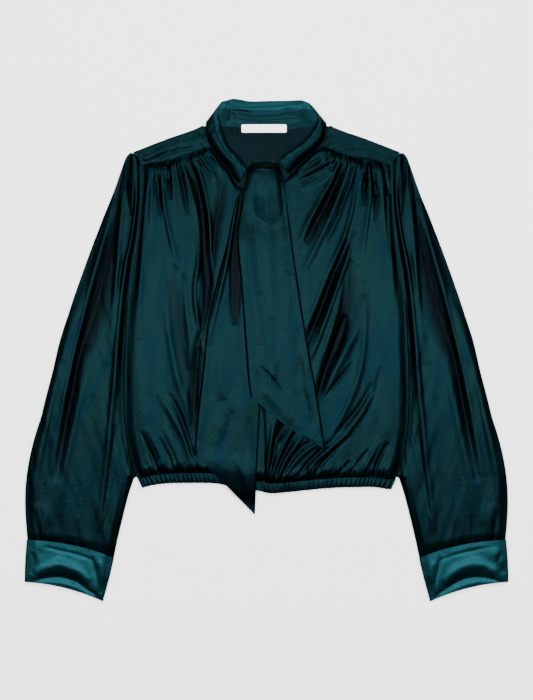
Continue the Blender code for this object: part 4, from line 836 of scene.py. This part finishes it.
def flat_tube(outer, inner, bow, levels, top_height, top_count, inset):
    """Rings of a flattened tube, from the middle of its lower layer round by the outer edge."""
    low, edge_top = levels
    outer = outer[:, None, :]
    inner = inner[:, None, :]
    width = np.linalg.norm(inner - outer, axis=2, keepdims=True)
    along = (inner - outer) / width
    upward = np.stack([-along[:, :, 1], along[:, :, 0]], axis=-1)
    upward *= np.where(upward[:, :, 1:] < 0, -1.0, 1.0)
    half = (edge_top - low) / 2
    outer_share = inset[0] / width[:, :, 0]
    inner_share = np.reshape(inset[1], (-1, 1)) / width[:, :, 0]
    flat_share = 1 - outer_share - inner_share

    def band(share, height):
        spot = outer + along * width * share[:, :, None]
        spot = spot + upward * bow[:, None, None] * 4 * (share * (1 - share))[:, :, None]
        if height is None:
            height = top_height(spot[:, :, 0], spot[:, :, 1], share, width[:, :, 0])
        return grid(spot[:, :, 0], spot[:, :, 1], height)

    low_share = np.linspace(0.5, 0.0, LOW_POINTS)[None, :]
    top_share = np.linspace(0.0, 1.0, top_count)[None, :]
    return np.concatenate([
        band(outer_share + flat_share * low_share, low),
        band(outer_share * (1 - np.cos(EDGE_TURN)), low + half + half * np.sin(EDGE_TURN)),
        band(outer_share + flat_share * top_share, None),
        band(1 - inner_share * (1 - np.cos(EDGE_TURN)), low + half - half * np.sin(EDGE_TURN)),
        band(outer_share + flat_share * (1 - low_share[:, :0:-1]), low),
    ], axis=1)


def sleeve_rows(strength, seed):
    """Rings of the left sleeve, the painted shade at each point by how deep it lies in a fold, and how many
    rings are sewn in.
    """
    table_rows = np.array(SLEEVE_ROWS)
    way = np.concatenate([[0.0], np.cumsum(np.hypot(*np.diff(table_rows[:, :2], axis=0).T))])
    open_way = way[SLEEVE_OPEN_ROWS]
    places = np.concatenate([np.linspace(0.0, open_way, SLEEVE_OPEN_RINGS),
                             np.linspace(open_way, way[-1], SLEEVE_CLOSED_RINGS)[1:]])
    outer_x, outer_y, inner_y, bow = [smooth(way, table_rows[:, column], places) for column in range(4)]
    outer = np.column_stack([outer_x, outer_y])
    inner = np.column_stack([-sleeve_inner_x(inner_y), inner_y])

    def top_height(x, y, share, width):
        from_outer = share * width
        from_inner = (1 - share) * width
        from_cuff = (places[-1] - places)[:, None]
        lift = step(from_outer / 18.0 + 0.1) * step(from_inner / 12.0 + 0.05) * step(from_cuff / 26.0 + 0.5)
        lift = lift * step(places[:, None] / 10.0 + 0.2)
        ends = step(from_outer / 5.0) * step(from_inner / 5.0) * step(from_cuff / 6.0)
        height = SLEEVE_LEVELS[1] + SLEEVE_LIFT * lift + ends * strength * fold_height(x, y, SLEEVE_FOLDS)
        height = height + ends * (0.35 * uneven(x + 0.3 * y, y, 9.0, 60.0, seed)
                                  + 0.15 * uneven(x, y, 4.5, 24.0, seed + 1))
        crinkle = step((x + 0.36 * y + 199.0) / 4.0) * step((-120.0 - y) / 20.0)
        height = height + ends * 0.3 * crinkle * uneven(x, y, 5.0, 5.0, seed + 2)
        return np.maximum(height, SLEEVE_LEVELS[1] - 1.0)

    inner_inset = np.interp(places, (open_way, open_way + 14.0), (SEWN_INSET, SLEEVE_INSET))
    rows = flat_tube(outer, inner, bow, SLEEVE_LEVELS, top_height, SLEEVE_TOP_POINTS,
                     (SLEEVE_INSET, inner_inset))
    folds = strength * fold_height(rows[:, :, 0], rows[:, :, 1], SLEEVE_FOLDS)
    # painted shade: the deeper a trough on the upper layer, the darker its colour is painted
    fold_shade = DARKEST_FOLD_SHADE * step(-folds / SLEEVE_FULL_SHADE_DEPTH)
    fold_shade = np.where(rows[:, :, 2] > SLEEVE_LEVELS[1] - 1.1, fold_shade, 0.0)
    return rows, fold_shade, len(np.where(places < open_way - 1e-6)[0])


left_rows, fold_shade, open_count = sleeve_rows(1.0, 51)
# the edge next to the armhole stays open where the sleeve is sewn in
kept = np.ones((left_rows.shape[0] - 1, left_rows.shape[1]), bool)
edge_start = LOW_POINTS + EDGE_TURN.size + SLEEVE_TOP_POINTS - 1
kept[:open_count, edge_start:edge_start + EDGE_TURN.size + 1] = False
sleeve_left = shell("sleeve_tube_left", left_rows, CLOTH, kept=kept, ring=True, fold_shade=fold_shade)
finish_piece(sleeve_left, "sleeve_left", satin)
right_rows, fold_shade, _ = sleeve_rows(0.94, 55)
right_rows = right_rows[:, ::-1] * (-1, 1, 1)
kept = np.roll(kept[:, ::-1], -1, axis=1)
sleeve_right = shell("sleeve_tube_right", right_rows, CLOTH, kept=kept, ring=True, fold_shade=fold_shade[:, ::-1])
finish_piece(sleeve_right, "sleeve_right", satin)


# Cuffs: deep plain cuffs of double satin, coloured paler than the rest, sewn to the lower edge of the
# sleeves.
# Each lies flat as a tube, a little domed, with its lower edge curved.
CUFF_RINGS = 40
CUFF_TOP_POINTS = 66
CUFF_LEVELS = (0.9, 3.6)
CUFF_DOME = 2.8
CUFF_INSET = 1.8
# Each row has the x and y of its outer and its inner end, and its bow towards the collar.
CUFF_ROWS = ((-339.8, -269.4, -217.0, -294.6, 6.0), (-341.5, -290.0, -221.5, -315.0, 6.0),
             (-342.5, -309.0, -227.0, -336.0, 5.5), (-342.9, -329.0, -232.7, -356.7, 5.0))
CUFF_FOLDS = (
    (-1.8, 0.0, ((-335.8, -332.3, 3.5), (-314.5, -323.8, 5.0), (-293.2, -322.3, 5.7),
          (-271.9, -328.0, 5.7), (-253.5, -340.8, 5.0), (-237.8, -356.4, 3.5))),
    (1.5, 0.0, ((-327.3, -316.7, 5.7), (-307.4, -306.7, 7.1), (-287.6, -305.3, 8.5),
          (-267.7, -313.8, 7.1), (-250.6, -329.4, 5.7))),
    (-1.4, 0.0, ((-247.8, -292.5, 2.8), (-243.5, -309.6, 3.5), (-239.3, -329.4, 3.5),
          (-235.0, -346.5, 2.8))),
    (-1.2, 0.0, ((-331.6, -286.8, 2.8), (-328.7, -301.0, 4.3), (-334.4, -318.1, 3.5))),
    (0.9, 0.0, ((-236.4, -298.2, 3.5), (-232.2, -315.2, 3.5), (-230.8, -332.3, 2.8))),
    (-0.6, 0.0, ((-318.8, -278.3, 2.1), (-293.2, -284.0, 2.6), (-264.8, -291.1, 2.6),
          (-243.5, -299.6, 2.1))),
)


def cuff_rows(strength, seed):
    """Rings of the left cuff."""
    table_rows = np.array(CUFF_ROWS)
    way = np.arange(len(table_rows)) / (len(table_rows) - 1)
    places = np.linspace(0.0, 1.0, CUFF_RINGS)
    values = [smooth(way, table_rows[:, column], places) for column in range(5)]

    def top_height(x, y, share, width):
        from_edge = np.minimum(share, 1 - share) * width
        along = places[:, None]
        dome = step(from_edge / 16.0) * (0.75 + 0.25 * np.sin(math.pi * along))
        ends = step(from_edge / 6.0) * step(along * 6) * step((1 - along) * 8 + 0.2)
        height = CUFF_LEVELS[1] + CUFF_DOME * dome + ends * strength * fold_height(x, y, CUFF_FOLDS)
        return height + ends * 0.25 * uneven(x, y, 14.0, 12.0, seed)

    rows = flat_tube(np.column_stack(values[:2]), np.column_stack(values[2:4]), values[4], CUFF_LEVELS,
                     top_height, CUFF_TOP_POINTS, (CUFF_INSET, CUFF_INSET))
    top_start = LOW_POINTS + EDGE_TURN.size
    share = np.linspace(0.0, 1.0, CUFF_TOP_POINTS)[None, :]
    # at the lower edge the upper layer draws back a little, most of all at the inner end
    rows[:, top_start:top_start + CUFF_TOP_POINTS, 1] += 2.6 * share * step((places[:, None] - 0.8) * 5)
    return rows


left_rows = cuff_rows(1.0, 61)
cuff_left = shell("cuff_tube_left", left_rows, DOUBLE_CLOTH, ring=True, paler_tint=1.0)
finish_piece(cuff_left, "cuff_left", satin)
right_rows = cuff_rows(0.92, 64)[:, ::-1] * (-1, 1, 1)
cuff_right = shell("cuff_tube_right", right_rows, DOUBLE_CLOTH, ring=True, paler_tint=1.0)
finish_piece(cuff_right, "cuff_right", satin)


# Neckband: a stand collar of double satin, sewn into the neckline. It lies flat behind the neck, coloured a
# little paler there, folds over at both sides and stands a little along the front, showing its outside; a
# strip along its free edge is coloured paler still.
# Each section has the place of its seam, the place of its free edge, how far it bulges up between
# them, and how far it starts from the seam.
COLLAR_SECTIONS = (
    (-40.5, 235.0, 4.6, -27.5, 258.5, 6.0, 3.5, 1.6), (-47.5, 244.0, 4.2, -33.5, 266.5, 6.2, 4.0, 1.6),
    (-54.5, 255.5, 4.0, -39.5, 274.0, 6.4, 4.5, 1.6), (-63.0, 265.5, 3.8, -46.5, 281.5, 6.4, 5.0, 1.6),
    (-69.0, 272.5, 3.8, -53.0, 288.5, 6.4, 5.0, 1.6), (-79.0, 287.0, 3.8, -58.5, 299.5, 6.2, 5.0, 1.6),
    (-84.5, 298.0, 3.8, -63.0, 312.5, 6.0, 4.5, 1.6), (-86.5, 310.0, 4.4, -67.0, 328.5, 5.8, 3.0, 1.6),
    (-86.6, 319.0, 4.8, -69.0, 342.0, 5.4, 1.2, 1.4), (-85.6, 323.0, 2.8, -64.0, 351.6, 3.0, 0.2, 0.8),
    (-75.5, 318.0, 0.9, -57.0, 354.2, 0.9, 0.0, 0.6), (-63.0, 317.0, 0.9, -49.5, 356.6, 0.9, 0.0, 0.6),
    (-36.0, 315.0, 0.9, -23.5, 353.2, 0.9, 0.0, 0.6), (-3.5, 313.0, 0.9, 2.0, 353.6, 0.9, 0.0, 0.6),
    (29.0, 312.5, 0.9, 29.0, 353.8, 0.9, 0.0, 0.6), (63.0, 316.0, 0.9, 52.5, 354.0, 0.9, 0.0, 0.6),
    (73.0, 316.9, 0.9, 57.5, 352.0, 0.9, 0.0, 0.6), (84.0, 322.0, 2.8, 63.0, 348.0, 3.0, 0.2, 0.6),
    (85.5, 318.0, 4.8, 69.5, 339.5, 5.4, 1.2, 1.2), (84.5, 311.0, 4.4, 73.0, 329.0, 5.8, 3.0, 1.6),
    (83.0, 300.5, 3.8, 68.0, 318.0, 6.0, 4.5, 1.6), (76.0, 289.5, 3.8, 60.0, 305.0, 6.2, 5.0, 1.6),
    (66.0, 280.0, 3.8, 51.0, 295.0, 6.4, 5.0, 1.6), (54.5, 270.0, 3.8, 38.0, 286.0, 6.4, 5.0, 1.6),
    (43.5, 260.0, 4.0, 26.0, 278.0, 6.4, 4.5, 1.6), (32.0, 249.5, 4.6, 17.5, 270.0, 6.0, 3.5, 1.6),
)
COLLAR_FOLDS = (
    (1.2, 0.0, ((-57.5, 349.3, 4.3), (-37.6, 343.6, 5.7), (-6.4, 343.6, 7.1), (33.4, 346.5, 5.7),
          (51.8, 349.3, 4.3))),
    (-1.2, 0.0, ((-49.0, 338.0, 2.8), (-37.6, 336.5, 4.3), (-20.6, 336.5, 4.3))),
    (-1.3, 0.0, ((22.0, 339.4, 4.3), (39.0, 336.5, 5.0), (53.2, 339.4, 4.3))),
    (1.1, 0.0, ((-47.6, 329.4, 4.3), (-23.4, 325.2, 4.3), (12.1, 326.6, 4.3), (47.6, 329.4, 4.3))),
    (-1.0, 0.0, ((53.2, 349.3, 2.8), (57.5, 335.1, 3.5), (63.2, 320.9, 2.8))),
    (1.0, 0.0, ((-50.4, 353.6, 2.8), (-49.0, 338.0, 2.8), (-54.7, 320.9, 2.8))),
)
COLLAR_GRID = (250, 30)
sections = np.array(COLLAR_SECTIONS)
seam_way = np.linalg.norm(np.diff(sections[:, :2], axis=0), axis=1)
edge_way = np.linalg.norm(np.diff(sections[:, 3:5], axis=0), axis=1)
collar_way = np.concatenate([[0.0], np.cumsum(edge_way + seam_way)])
collar_places = np.linspace(0.0, collar_way[-1], COLLAR_GRID[0])
values = [smooth(collar_way, sections[:, column], collar_places)[:, None] for column in range(8)]
seam = np.stack(values[:3], axis=-1)
edge = np.stack(values[3:6], axis=-1)
bulge = values[6]
seam_gap = values[7][:, :, None]
seam = seam + (edge - seam) * (seam_gap / np.linalg.norm(edge - seam, axis=2, keepdims=True))
share = np.linspace(0.0, 1.0, COLLAR_GRID[1])[None, :]
collar_rows = seam + (edge - seam) * share[:, :, None]
collar_rows[:, :, 2] += bulge * np.sin(math.pi * share) ** 0.8
behind = step((collar_rows[:, :, 1] - 300.0) / 14.0) * step((3.0 - values[2]) / 1.0)
folds = fold_height(collar_rows[:, :, 0], collar_rows[:, :, 1], COLLAR_FOLDS)
collar_rows[:, :, 2] += behind * np.maximum(1.0 + folds, 0.65)
soft = 0.35 * uneven(collar_places[:, None], share * 40, 16.0, 14.0, 71)
collar_rows[:, :, 2] += soft * step((bulge - 1.0) / 2.0)
# the back of the neckband and a strip along its free edge are coloured paler
paler_share = np.clip(0.14 * behind + 0.6 * step((share - 0.66) / 0.05), 0, 1)
collar = shell("neckband", collar_rows.transpose(1, 0, 2)[::-1], DOUBLE_CLOTH, paler_tint=paler_share.T[::-1])
finish_piece(collar, "collar", satin)


# Knot: the neckband's left end wrapped once round, a short flattened loop of double satin at the middle
# of the neckline. Both tie ends come out of it.
# Each row has the middle x, the y, half the width and the height.
KNOT_ROWS = ((-5.0, 261.0, 15.0, 6.0), (-5.0, 254.0, 17.5, 7.6), (-4.5, 245.0, 18.5, 8.0),
             (-4.0, 236.0, 18.0, 7.4), (-4.0, 229.0, 16.5, 6.0))
KNOT_GRID = (36, 72)
KNOT_LEVEL = 7.0


def flattened(wave, power):
    """A wave with flatter crests."""
    return np.sign(wave) * np.abs(wave) ** power


knot_table = np.array(KNOT_ROWS)[::-1]
knot_y = np.linspace(KNOT_ROWS[0][1], KNOT_ROWS[-1][1], KNOT_GRID[0])[:, None]
middle_x, half_width, knot_height = [smooth(knot_table[:, 1], knot_table[:, column], knot_y)
                                     for column in (0, 2, 3)]
turn = np.linspace(0.0, 2 * math.pi, KNOT_GRID[1], endpoint=False)[None, :]
knot_x = middle_x + half_width * flattened(np.cos(turn), 0.7)
raised = -flattened(np.sin(turn), 0.8)
knot_z = KNOT_LEVEL + knot_height / 2 * (1 + raised)
knot_z = knot_z + 0.5 * np.maximum(raised, 0) * uneven(knot_x, knot_y, 7.0, 20.0, 75)
knot_rows = grid(knot_x, knot_y, knot_z)
knot = shell("tie_knot", knot_rows, DOUBLE_CLOTH, ring=True)
finish_piece(knot, "knot", satin)


# Under tie end: a wide flat end of double satin, cut to a point. It comes from below the knot, its left
# edge folded up to a narrow lit strip with a hollow beside it, and widens down to the hem.
# Each row has the x and y of its left and its right end.
TIE_UNDER_ROWS = (
    (-38.5, 228.0, -24.0, 221.0), (-42.5, 213.0, -20.0, 206.0), (-49.0, 184.5, -14.5, 178.0),
    (-54.5, 156.0, -12.0, 150.0), (-66.0, 113.5, -10.5, 108.0), (-76.0, 71.0, -9.0, 66.0),
    (-84.5, 28.5, -8.5, 24.0), (-88.5, -14.0, -8.5, -18.0), (-91.0, -39.0, -9.0, -46.0),
    (-94.5, -66.0, -9.5, -74.0), (-97.5, -92.0, -10.5, -104.0), (-99.5, -113.0, -12.0, -130.0),
    (-100.5, -127.0, -13.5, -158.0), (-101.0, -138.5, -15.0, -190.0), (-100.0, -148.0, -16.8, -233.5),
)
TIE_UNDER_FOLDS = (
    (2.6, 0.0, ((-36.2, 241.4, 2.8), (-41.9, 205.9, 3.1), (-50.4, 156.2, 3.4), (-60.3, 106.5, 3.7),
          (-71.7, 56.8, 4.0), (-83.1, 7.1, 4.3))),
    (-7.5, 0.0, ((-33.4, 238.6, 4.3), (-36.2, 205.9, 5.7), (-40.5, 163.3, 7.1), (-43.3, 120.7, 7.8),
          (-44.7, 78.1, 7.1), (-44.7, 35.5, 5.7))),
    (1.3, 0.0, ((-57.5, 71.0, 7.1), (-63.2, 21.3, 9.9), (-64.6, -28.4, 9.9), (-60.3, -71.0, 8.5))),
    (-1.0, 0.0, ((-43.3, 42.6, 5.7), (-40.5, 0.0, 7.1), (-37.6, -42.6, 7.1), (-34.8, -78.1, 5.7))),
    (1.0, 0.0, ((-77.4, 28.4, 4.3), (-85.9, -28.4, 5.7), (-91.6, -85.2, 5.7), (-94.4, -127.8, 4.3))),
    (-0.9, 0.0, ((-49.0, -85.2, 5.7), (-57.5, -120.7, 7.1), (-66.0, -149.1, 5.7))),
    (1.1, 0.0, ((-43.3, -149.1, 5.7), (-31.9, -177.5, 7.1), (-23.4, -205.9, 5.7))),
    (-0.9, 0.0, ((-23.4, -92.3, 4.3), (-24.8, -127.8, 5.0), (-22.0, -163.3, 4.3))),
    (1.0, 0.0, ((-49.0, 156.2, 2.8), (-51.8, 113.6, 3.5), (-53.2, 71.0, 3.5))),
)


TIE_UNDER_GRID = (230, 56)
TIE_LIFT = 0.9
GROUND_STEP = 2.0
GROUND_LOW = np.array((-120.0, -260.0))
GROUND_SIZE = (120, 310)
ground = np.zeros(GROUND_SIZE)


def lay_down(points, thickness):
    """Raise the height map of what lies below by a piece's upper side."""
    flat = points.reshape(-1, 3)
    cells = np.round((flat[:, :2] - GROUND_LOW) / GROUND_STEP).astype(int)
    inside = ((cells >= 0) & (cells < np.array(GROUND_SIZE))).all(axis=1)
    np.maximum.at(ground, (cells[inside, 0], cells[inside, 1]), flat[inside, 2] + thickness / 2)


def with_neighbours(heights):
    """A height map, and the same moved one cell to each of the four sides."""
    padded = np.pad(heights, 1, mode="edge")
    return heights, padded[:-2, 1:-1], padded[2:, 1:-1], padded[1:-1, :-2], padded[1:-1, 2:]


def resting_height(x, y, reach, soften):
    """Height that a cloth takes over the map: it spans the hollows within its reach."""
    lifted = ground
    for _ in range(round(reach / GROUND_STEP)):
        lifted = np.maximum.reduce(with_neighbours(lifted))
    for _ in range(soften):
        lifted, *around = with_neighbours(lifted)
        lifted = (lifted * 4 + sum(around)) / 8
    places = (np.stack([x, y], axis=-1) - GROUND_LOW) / GROUND_STEP
    places = np.clip(places, 0, np.array(GROUND_SIZE) - 1.001)
    cell = np.floor(places).astype(int)
    cell_x, cell_y = cell[..., 0], cell[..., 1]
    part_x, part_y = (places - cell)[..., 0], (places - cell)[..., 1]
    near = lifted[cell_x, cell_y] * (1 - part_x) + lifted[cell_x + 1, cell_y] * part_x
    far = lifted[cell_x, cell_y + 1] * (1 - part_x) + lifted[cell_x + 1, cell_y + 1] * part_x
    return near * (1 - part_y) + far * part_y


def tie_grid(table_rows, counts):
    """Places over a tie from its table of rows, the share across, the share of its length and its width."""
    table_rows = np.array(table_rows)
    left = np.hypot(*np.diff(table_rows[:, :2], axis=0).T)
    right = np.hypot(*np.diff(table_rows[:, 2:], axis=0).T)
    way = np.concatenate([[0.0], np.cumsum(left + right)])
    places = np.linspace(0.0, way[-1], counts[0])
    values = [smooth(way, table_rows[:, column], places)[:, None] for column in range(4)]
    share = np.linspace(0.0, 1.0, counts[1])[None, :]
    x = values[0] + (values[2] - values[0]) * share
    y = values[1] + (values[3] - values[1]) * share
    span = np.hypot(values[2] - values[0], values[3] - values[1])
    return x, y, share, (places / places[-1])[:, None], span


lay_down(yoke_rows, CLOTH)
lay_down(front_left_rows, CLOTH)
lay_down(front_right_rows, CLOTH)
lay_down(casing_left_rows, DOUBLE_CLOTH)
lay_down(casing_right_rows, DOUBLE_CLOTH)
lay_down(collar_rows, DOUBLE_CLOTH)
lay_down(knot_rows, DOUBLE_CLOTH)
x, y, share, way, span = tie_grid(TIE_UNDER_ROWS, TIE_UNDER_GRID)
from_edge = np.minimum(share, 1 - share) * span
z = resting_height(x, y, 10.0, 50) + TIE_LIFT + 1.9 * step(from_edge / 2.2 + 0.1) * step(way / 0.05)
height = fold_height(x, y, TIE_UNDER_FOLDS)
z = z + height + 0.22 * uneven(x, y, 16.0, 26.0, 81) + 0.06 * uneven(x, y, 6.0, 8.0, 82)
z = np.maximum(z, resting_height(x, y, 3.0, 14) + 0.5)
tie_under_rows = grid(x, y, z)
# painted shade: the hollow beside the folded-up strip and the other troughs of the under tie are darkened
tie_under = shell("tie_end_under", tie_under_rows, DOUBLE_CLOTH, fold_shade=0.95 * step(-height / 4.0))
finish_piece(tie_under, "tie_under", satin)
lay_down(tie_under_rows, DOUBLE_CLOTH)


# Upper tie end: it comes up behind the knot, falls over it in a rounded hump and lies on top, wider
# than the one below and cut to a slanting point. Its satin is slightly crushed.
TIE_UPPER_ROWS = (
    (-15.0, 264.0, 9.0, 263.0), (-16.5, 269.0, 11.0, 268.0), (-21.0, 264.0, 16.0, 263.5),
    (-26.0, 255.0, 20.0, 255.0), (-29.0, 241.5, 23.5, 240.0), (-32.0, 227.0, 26.0, 225.0),
    (-36.0, 199.0, 30.0, 197.0), (-41.0, 170.5, 34.0, 168.0), (-40.5, 149.0, 36.5, 146.0),
    (-38.5, 125.0, 40.0, 122.0), (-36.0, 99.5, 44.0, 97.0), (-34.0, 71.0, 48.0, 69.0),
    (-32.0, 42.5, 52.5, 40.0), (-30.5, 21.0, 56.0, 18.0), (-29.0, 0.0, 60.0, -4.0),
    (-27.5, -21.0, 64.0, -26.0), (-26.0, -37.0, 68.0, -46.0), (-24.8, -48.0, 71.5, -67.0),
    (-23.8, -56.0, 75.5, -92.0), (-23.2, -61.0, 79.5, -117.0), (-22.7, -64.5, 82.8, -140.3),
)
TIE_UPPER_GRID = (250, 58)
# How high the hump over the knot reaches at each y
TIE_HUMP = ((120.0, 4.0), (150.0, 9.5), (175.0, 12.5), (200.0, 15.6), (220.0, 18.0), (240.0, 19.0),
            (252.0, 18.8), (262.0, 17.2), (269.0, 14.0))
HUMP_START = 130.0
TIE_START_LEVEL = 9.5
TIE_UPPER_FOLDS = (
    (1.6, 0.0, ((0.7, 262.7, 5.7), (-0.7, 227.2, 7.1), (0.7, 184.6, 8.5), (5.0, 134.9, 8.5),
          (9.2, 85.2, 8.5), (13.5, 42.6, 7.1))),
    (-1.3, 0.0, ((16.3, 262.7, 3.5), (20.6, 227.2, 4.3), (26.3, 184.6, 5.0), (31.9, 142.0, 4.3),
          (34.8, 106.5, 3.5))),
    (-1.2, 0.0, ((-14.9, 248.5, 4.3), (-17.8, 213.0, 5.0), (-16.3, 170.4, 5.0), (-12.1, 120.7, 5.0),
          (-6.4, 78.1, 4.3))),
    (1.1, 0.0, ((-23.4, 177.5, 4.3), (-24.8, 142.0, 5.0), (-20.6, 99.4, 5.7), (-16.3, 56.8, 5.7),
          (-12.1, 7.1, 5.0))),
    (-0.9, 0.0, ((-6.4, 63.9, 3.5), (-2.1, 28.4, 4.3), (2.1, 0.0, 3.5))),
    (1.2, 0.0, ((27.7, 113.6, 4.3), (30.5, 71.0, 5.7), (29.1, 28.4, 5.0))),
    (-1.0, 0.0, ((-9.2, -22.7, 2.1), (-0.7, -31.2, 2.6), (13.5, -48.3, 2.6), (23.4, -61.1, 2.1))),
    (1.0, 0.0, ((-6.4, -54.0, 5.7), (12.1, -71.0, 7.1), (33.4, -92.3, 7.1), (50.4, -110.8, 5.7))),
    (-0.9, 0.0, ((41.9, 28.4, 4.3), (44.7, -14.2, 5.7), (50.4, -56.8, 5.7), (57.5, -92.3, 4.3))),
    (1.0, 0.0, ((51.8, 0.0, 4.3), (58.9, -49.7, 5.0), (67.5, -99.4, 4.3))),
    (2.0, 0.0, ((47.6, -116.4, 3.5), (64.6, -130.6, 4.3), (84.5, -144.8, 4.3))),
    (-1.4, 0.0, ((76.0, -105.1, 1.7), (78.1, -122.1, 1.8), (80.2, -137.7, 1.7))),
    (0.9, 0.0, ((7.8, 7.1, 4.3), (12.1, -17.0, 5.0), (7.8, -42.6, 4.3))),
)
x, y, share, way, span = tie_grid(TIE_UPPER_ROWS, TIE_UPPER_GRID)
from_edge = np.minimum(share, 1 - share) * span
z = resting_height(x, y, 12.0, 70) + TIE_LIFT + 2.1 * step(from_edge / 2.2 + 0.1)
round_top = step((y - 150.0) / 90.0)
hump = table(TIE_HUMP, y) - 6.5 * np.abs(2 * share - 1) ** 2.6
z = np.where(y > HUMP_START, np.maximum(z * (1 - round_top) + hump * round_top, hump), z)
z = z + fold_height(x, y, TIE_UPPER_FOLDS) * step(way / 0.08)
z = z + 0.22 * uneven(x, y, 12.0, 24.0, 91) + 0.08 * uneven(x, y, 6.0, 7.0, 92)
z = TIE_START_LEVEL + (z - TIE_START_LEVEL) * step((way - 0.012) / 0.05)
# the slanting tip is a little rounded, and its right corner turns up
y = y - 6.0 * np.sin(math.pi * share) * step((way - 0.9) / 0.1)
z = z + 3.0 * step((share - 0.8) / 0.2) * step((way - 0.93) / 0.07)
tie_upper = shell("tie_end_upper", grid(x, y, z), DOUBLE_CLOTH)
finish_piece(tie_upper, "tie_upper", satin)


# Label: a small woven label of off-white damask with rounded corners, blank, sewn flat over the middle
# of the back neckline.
LABEL_LEFT, LABEL_RIGHT = -35.5, 28.5
LABEL_LOW, LABEL_HIGH = 308.5, 320.0
LABEL_LEVEL = 2.9
LABEL_THICKNESS = 0.8
LABEL_CORNER = 1.6
label_weave = bpy.data.materials.new("label_damask")
label_weave.use_nodes = True
label_shader = label_weave.node_tree.nodes["Principled BSDF"]
label_shader.inputs["Base Color"].default_value = (0.80, 0.79, 0.76, 1.0)
label_shader.inputs["Roughness"].default_value = 0.75
across = np.linspace(0.0, 1.0, 34)[None, :]
down = np.linspace(0.0, 1.0, 10)[:, None]
label_y = LABEL_HIGH + (LABEL_LOW - LABEL_HIGH) * down
from_end = np.minimum(label_y - LABEL_LOW, LABEL_HIGH - label_y)
into_corner = np.maximum(LABEL_CORNER - from_end, 0)
pull = LABEL_CORNER - np.sqrt(np.maximum(LABEL_CORNER ** 2 - into_corner ** 2, 0))
label_x = LABEL_LEFT + pull + (LABEL_RIGHT - LABEL_LEFT - 2 * pull) * across
label_z = LABEL_LEVEL + 0.25 * np.sin(math.pi * across)
label = shell("neck_label", grid(label_x, label_y, label_z), LABEL_THICKNESS)
finish_piece(label, "label", label_weave)
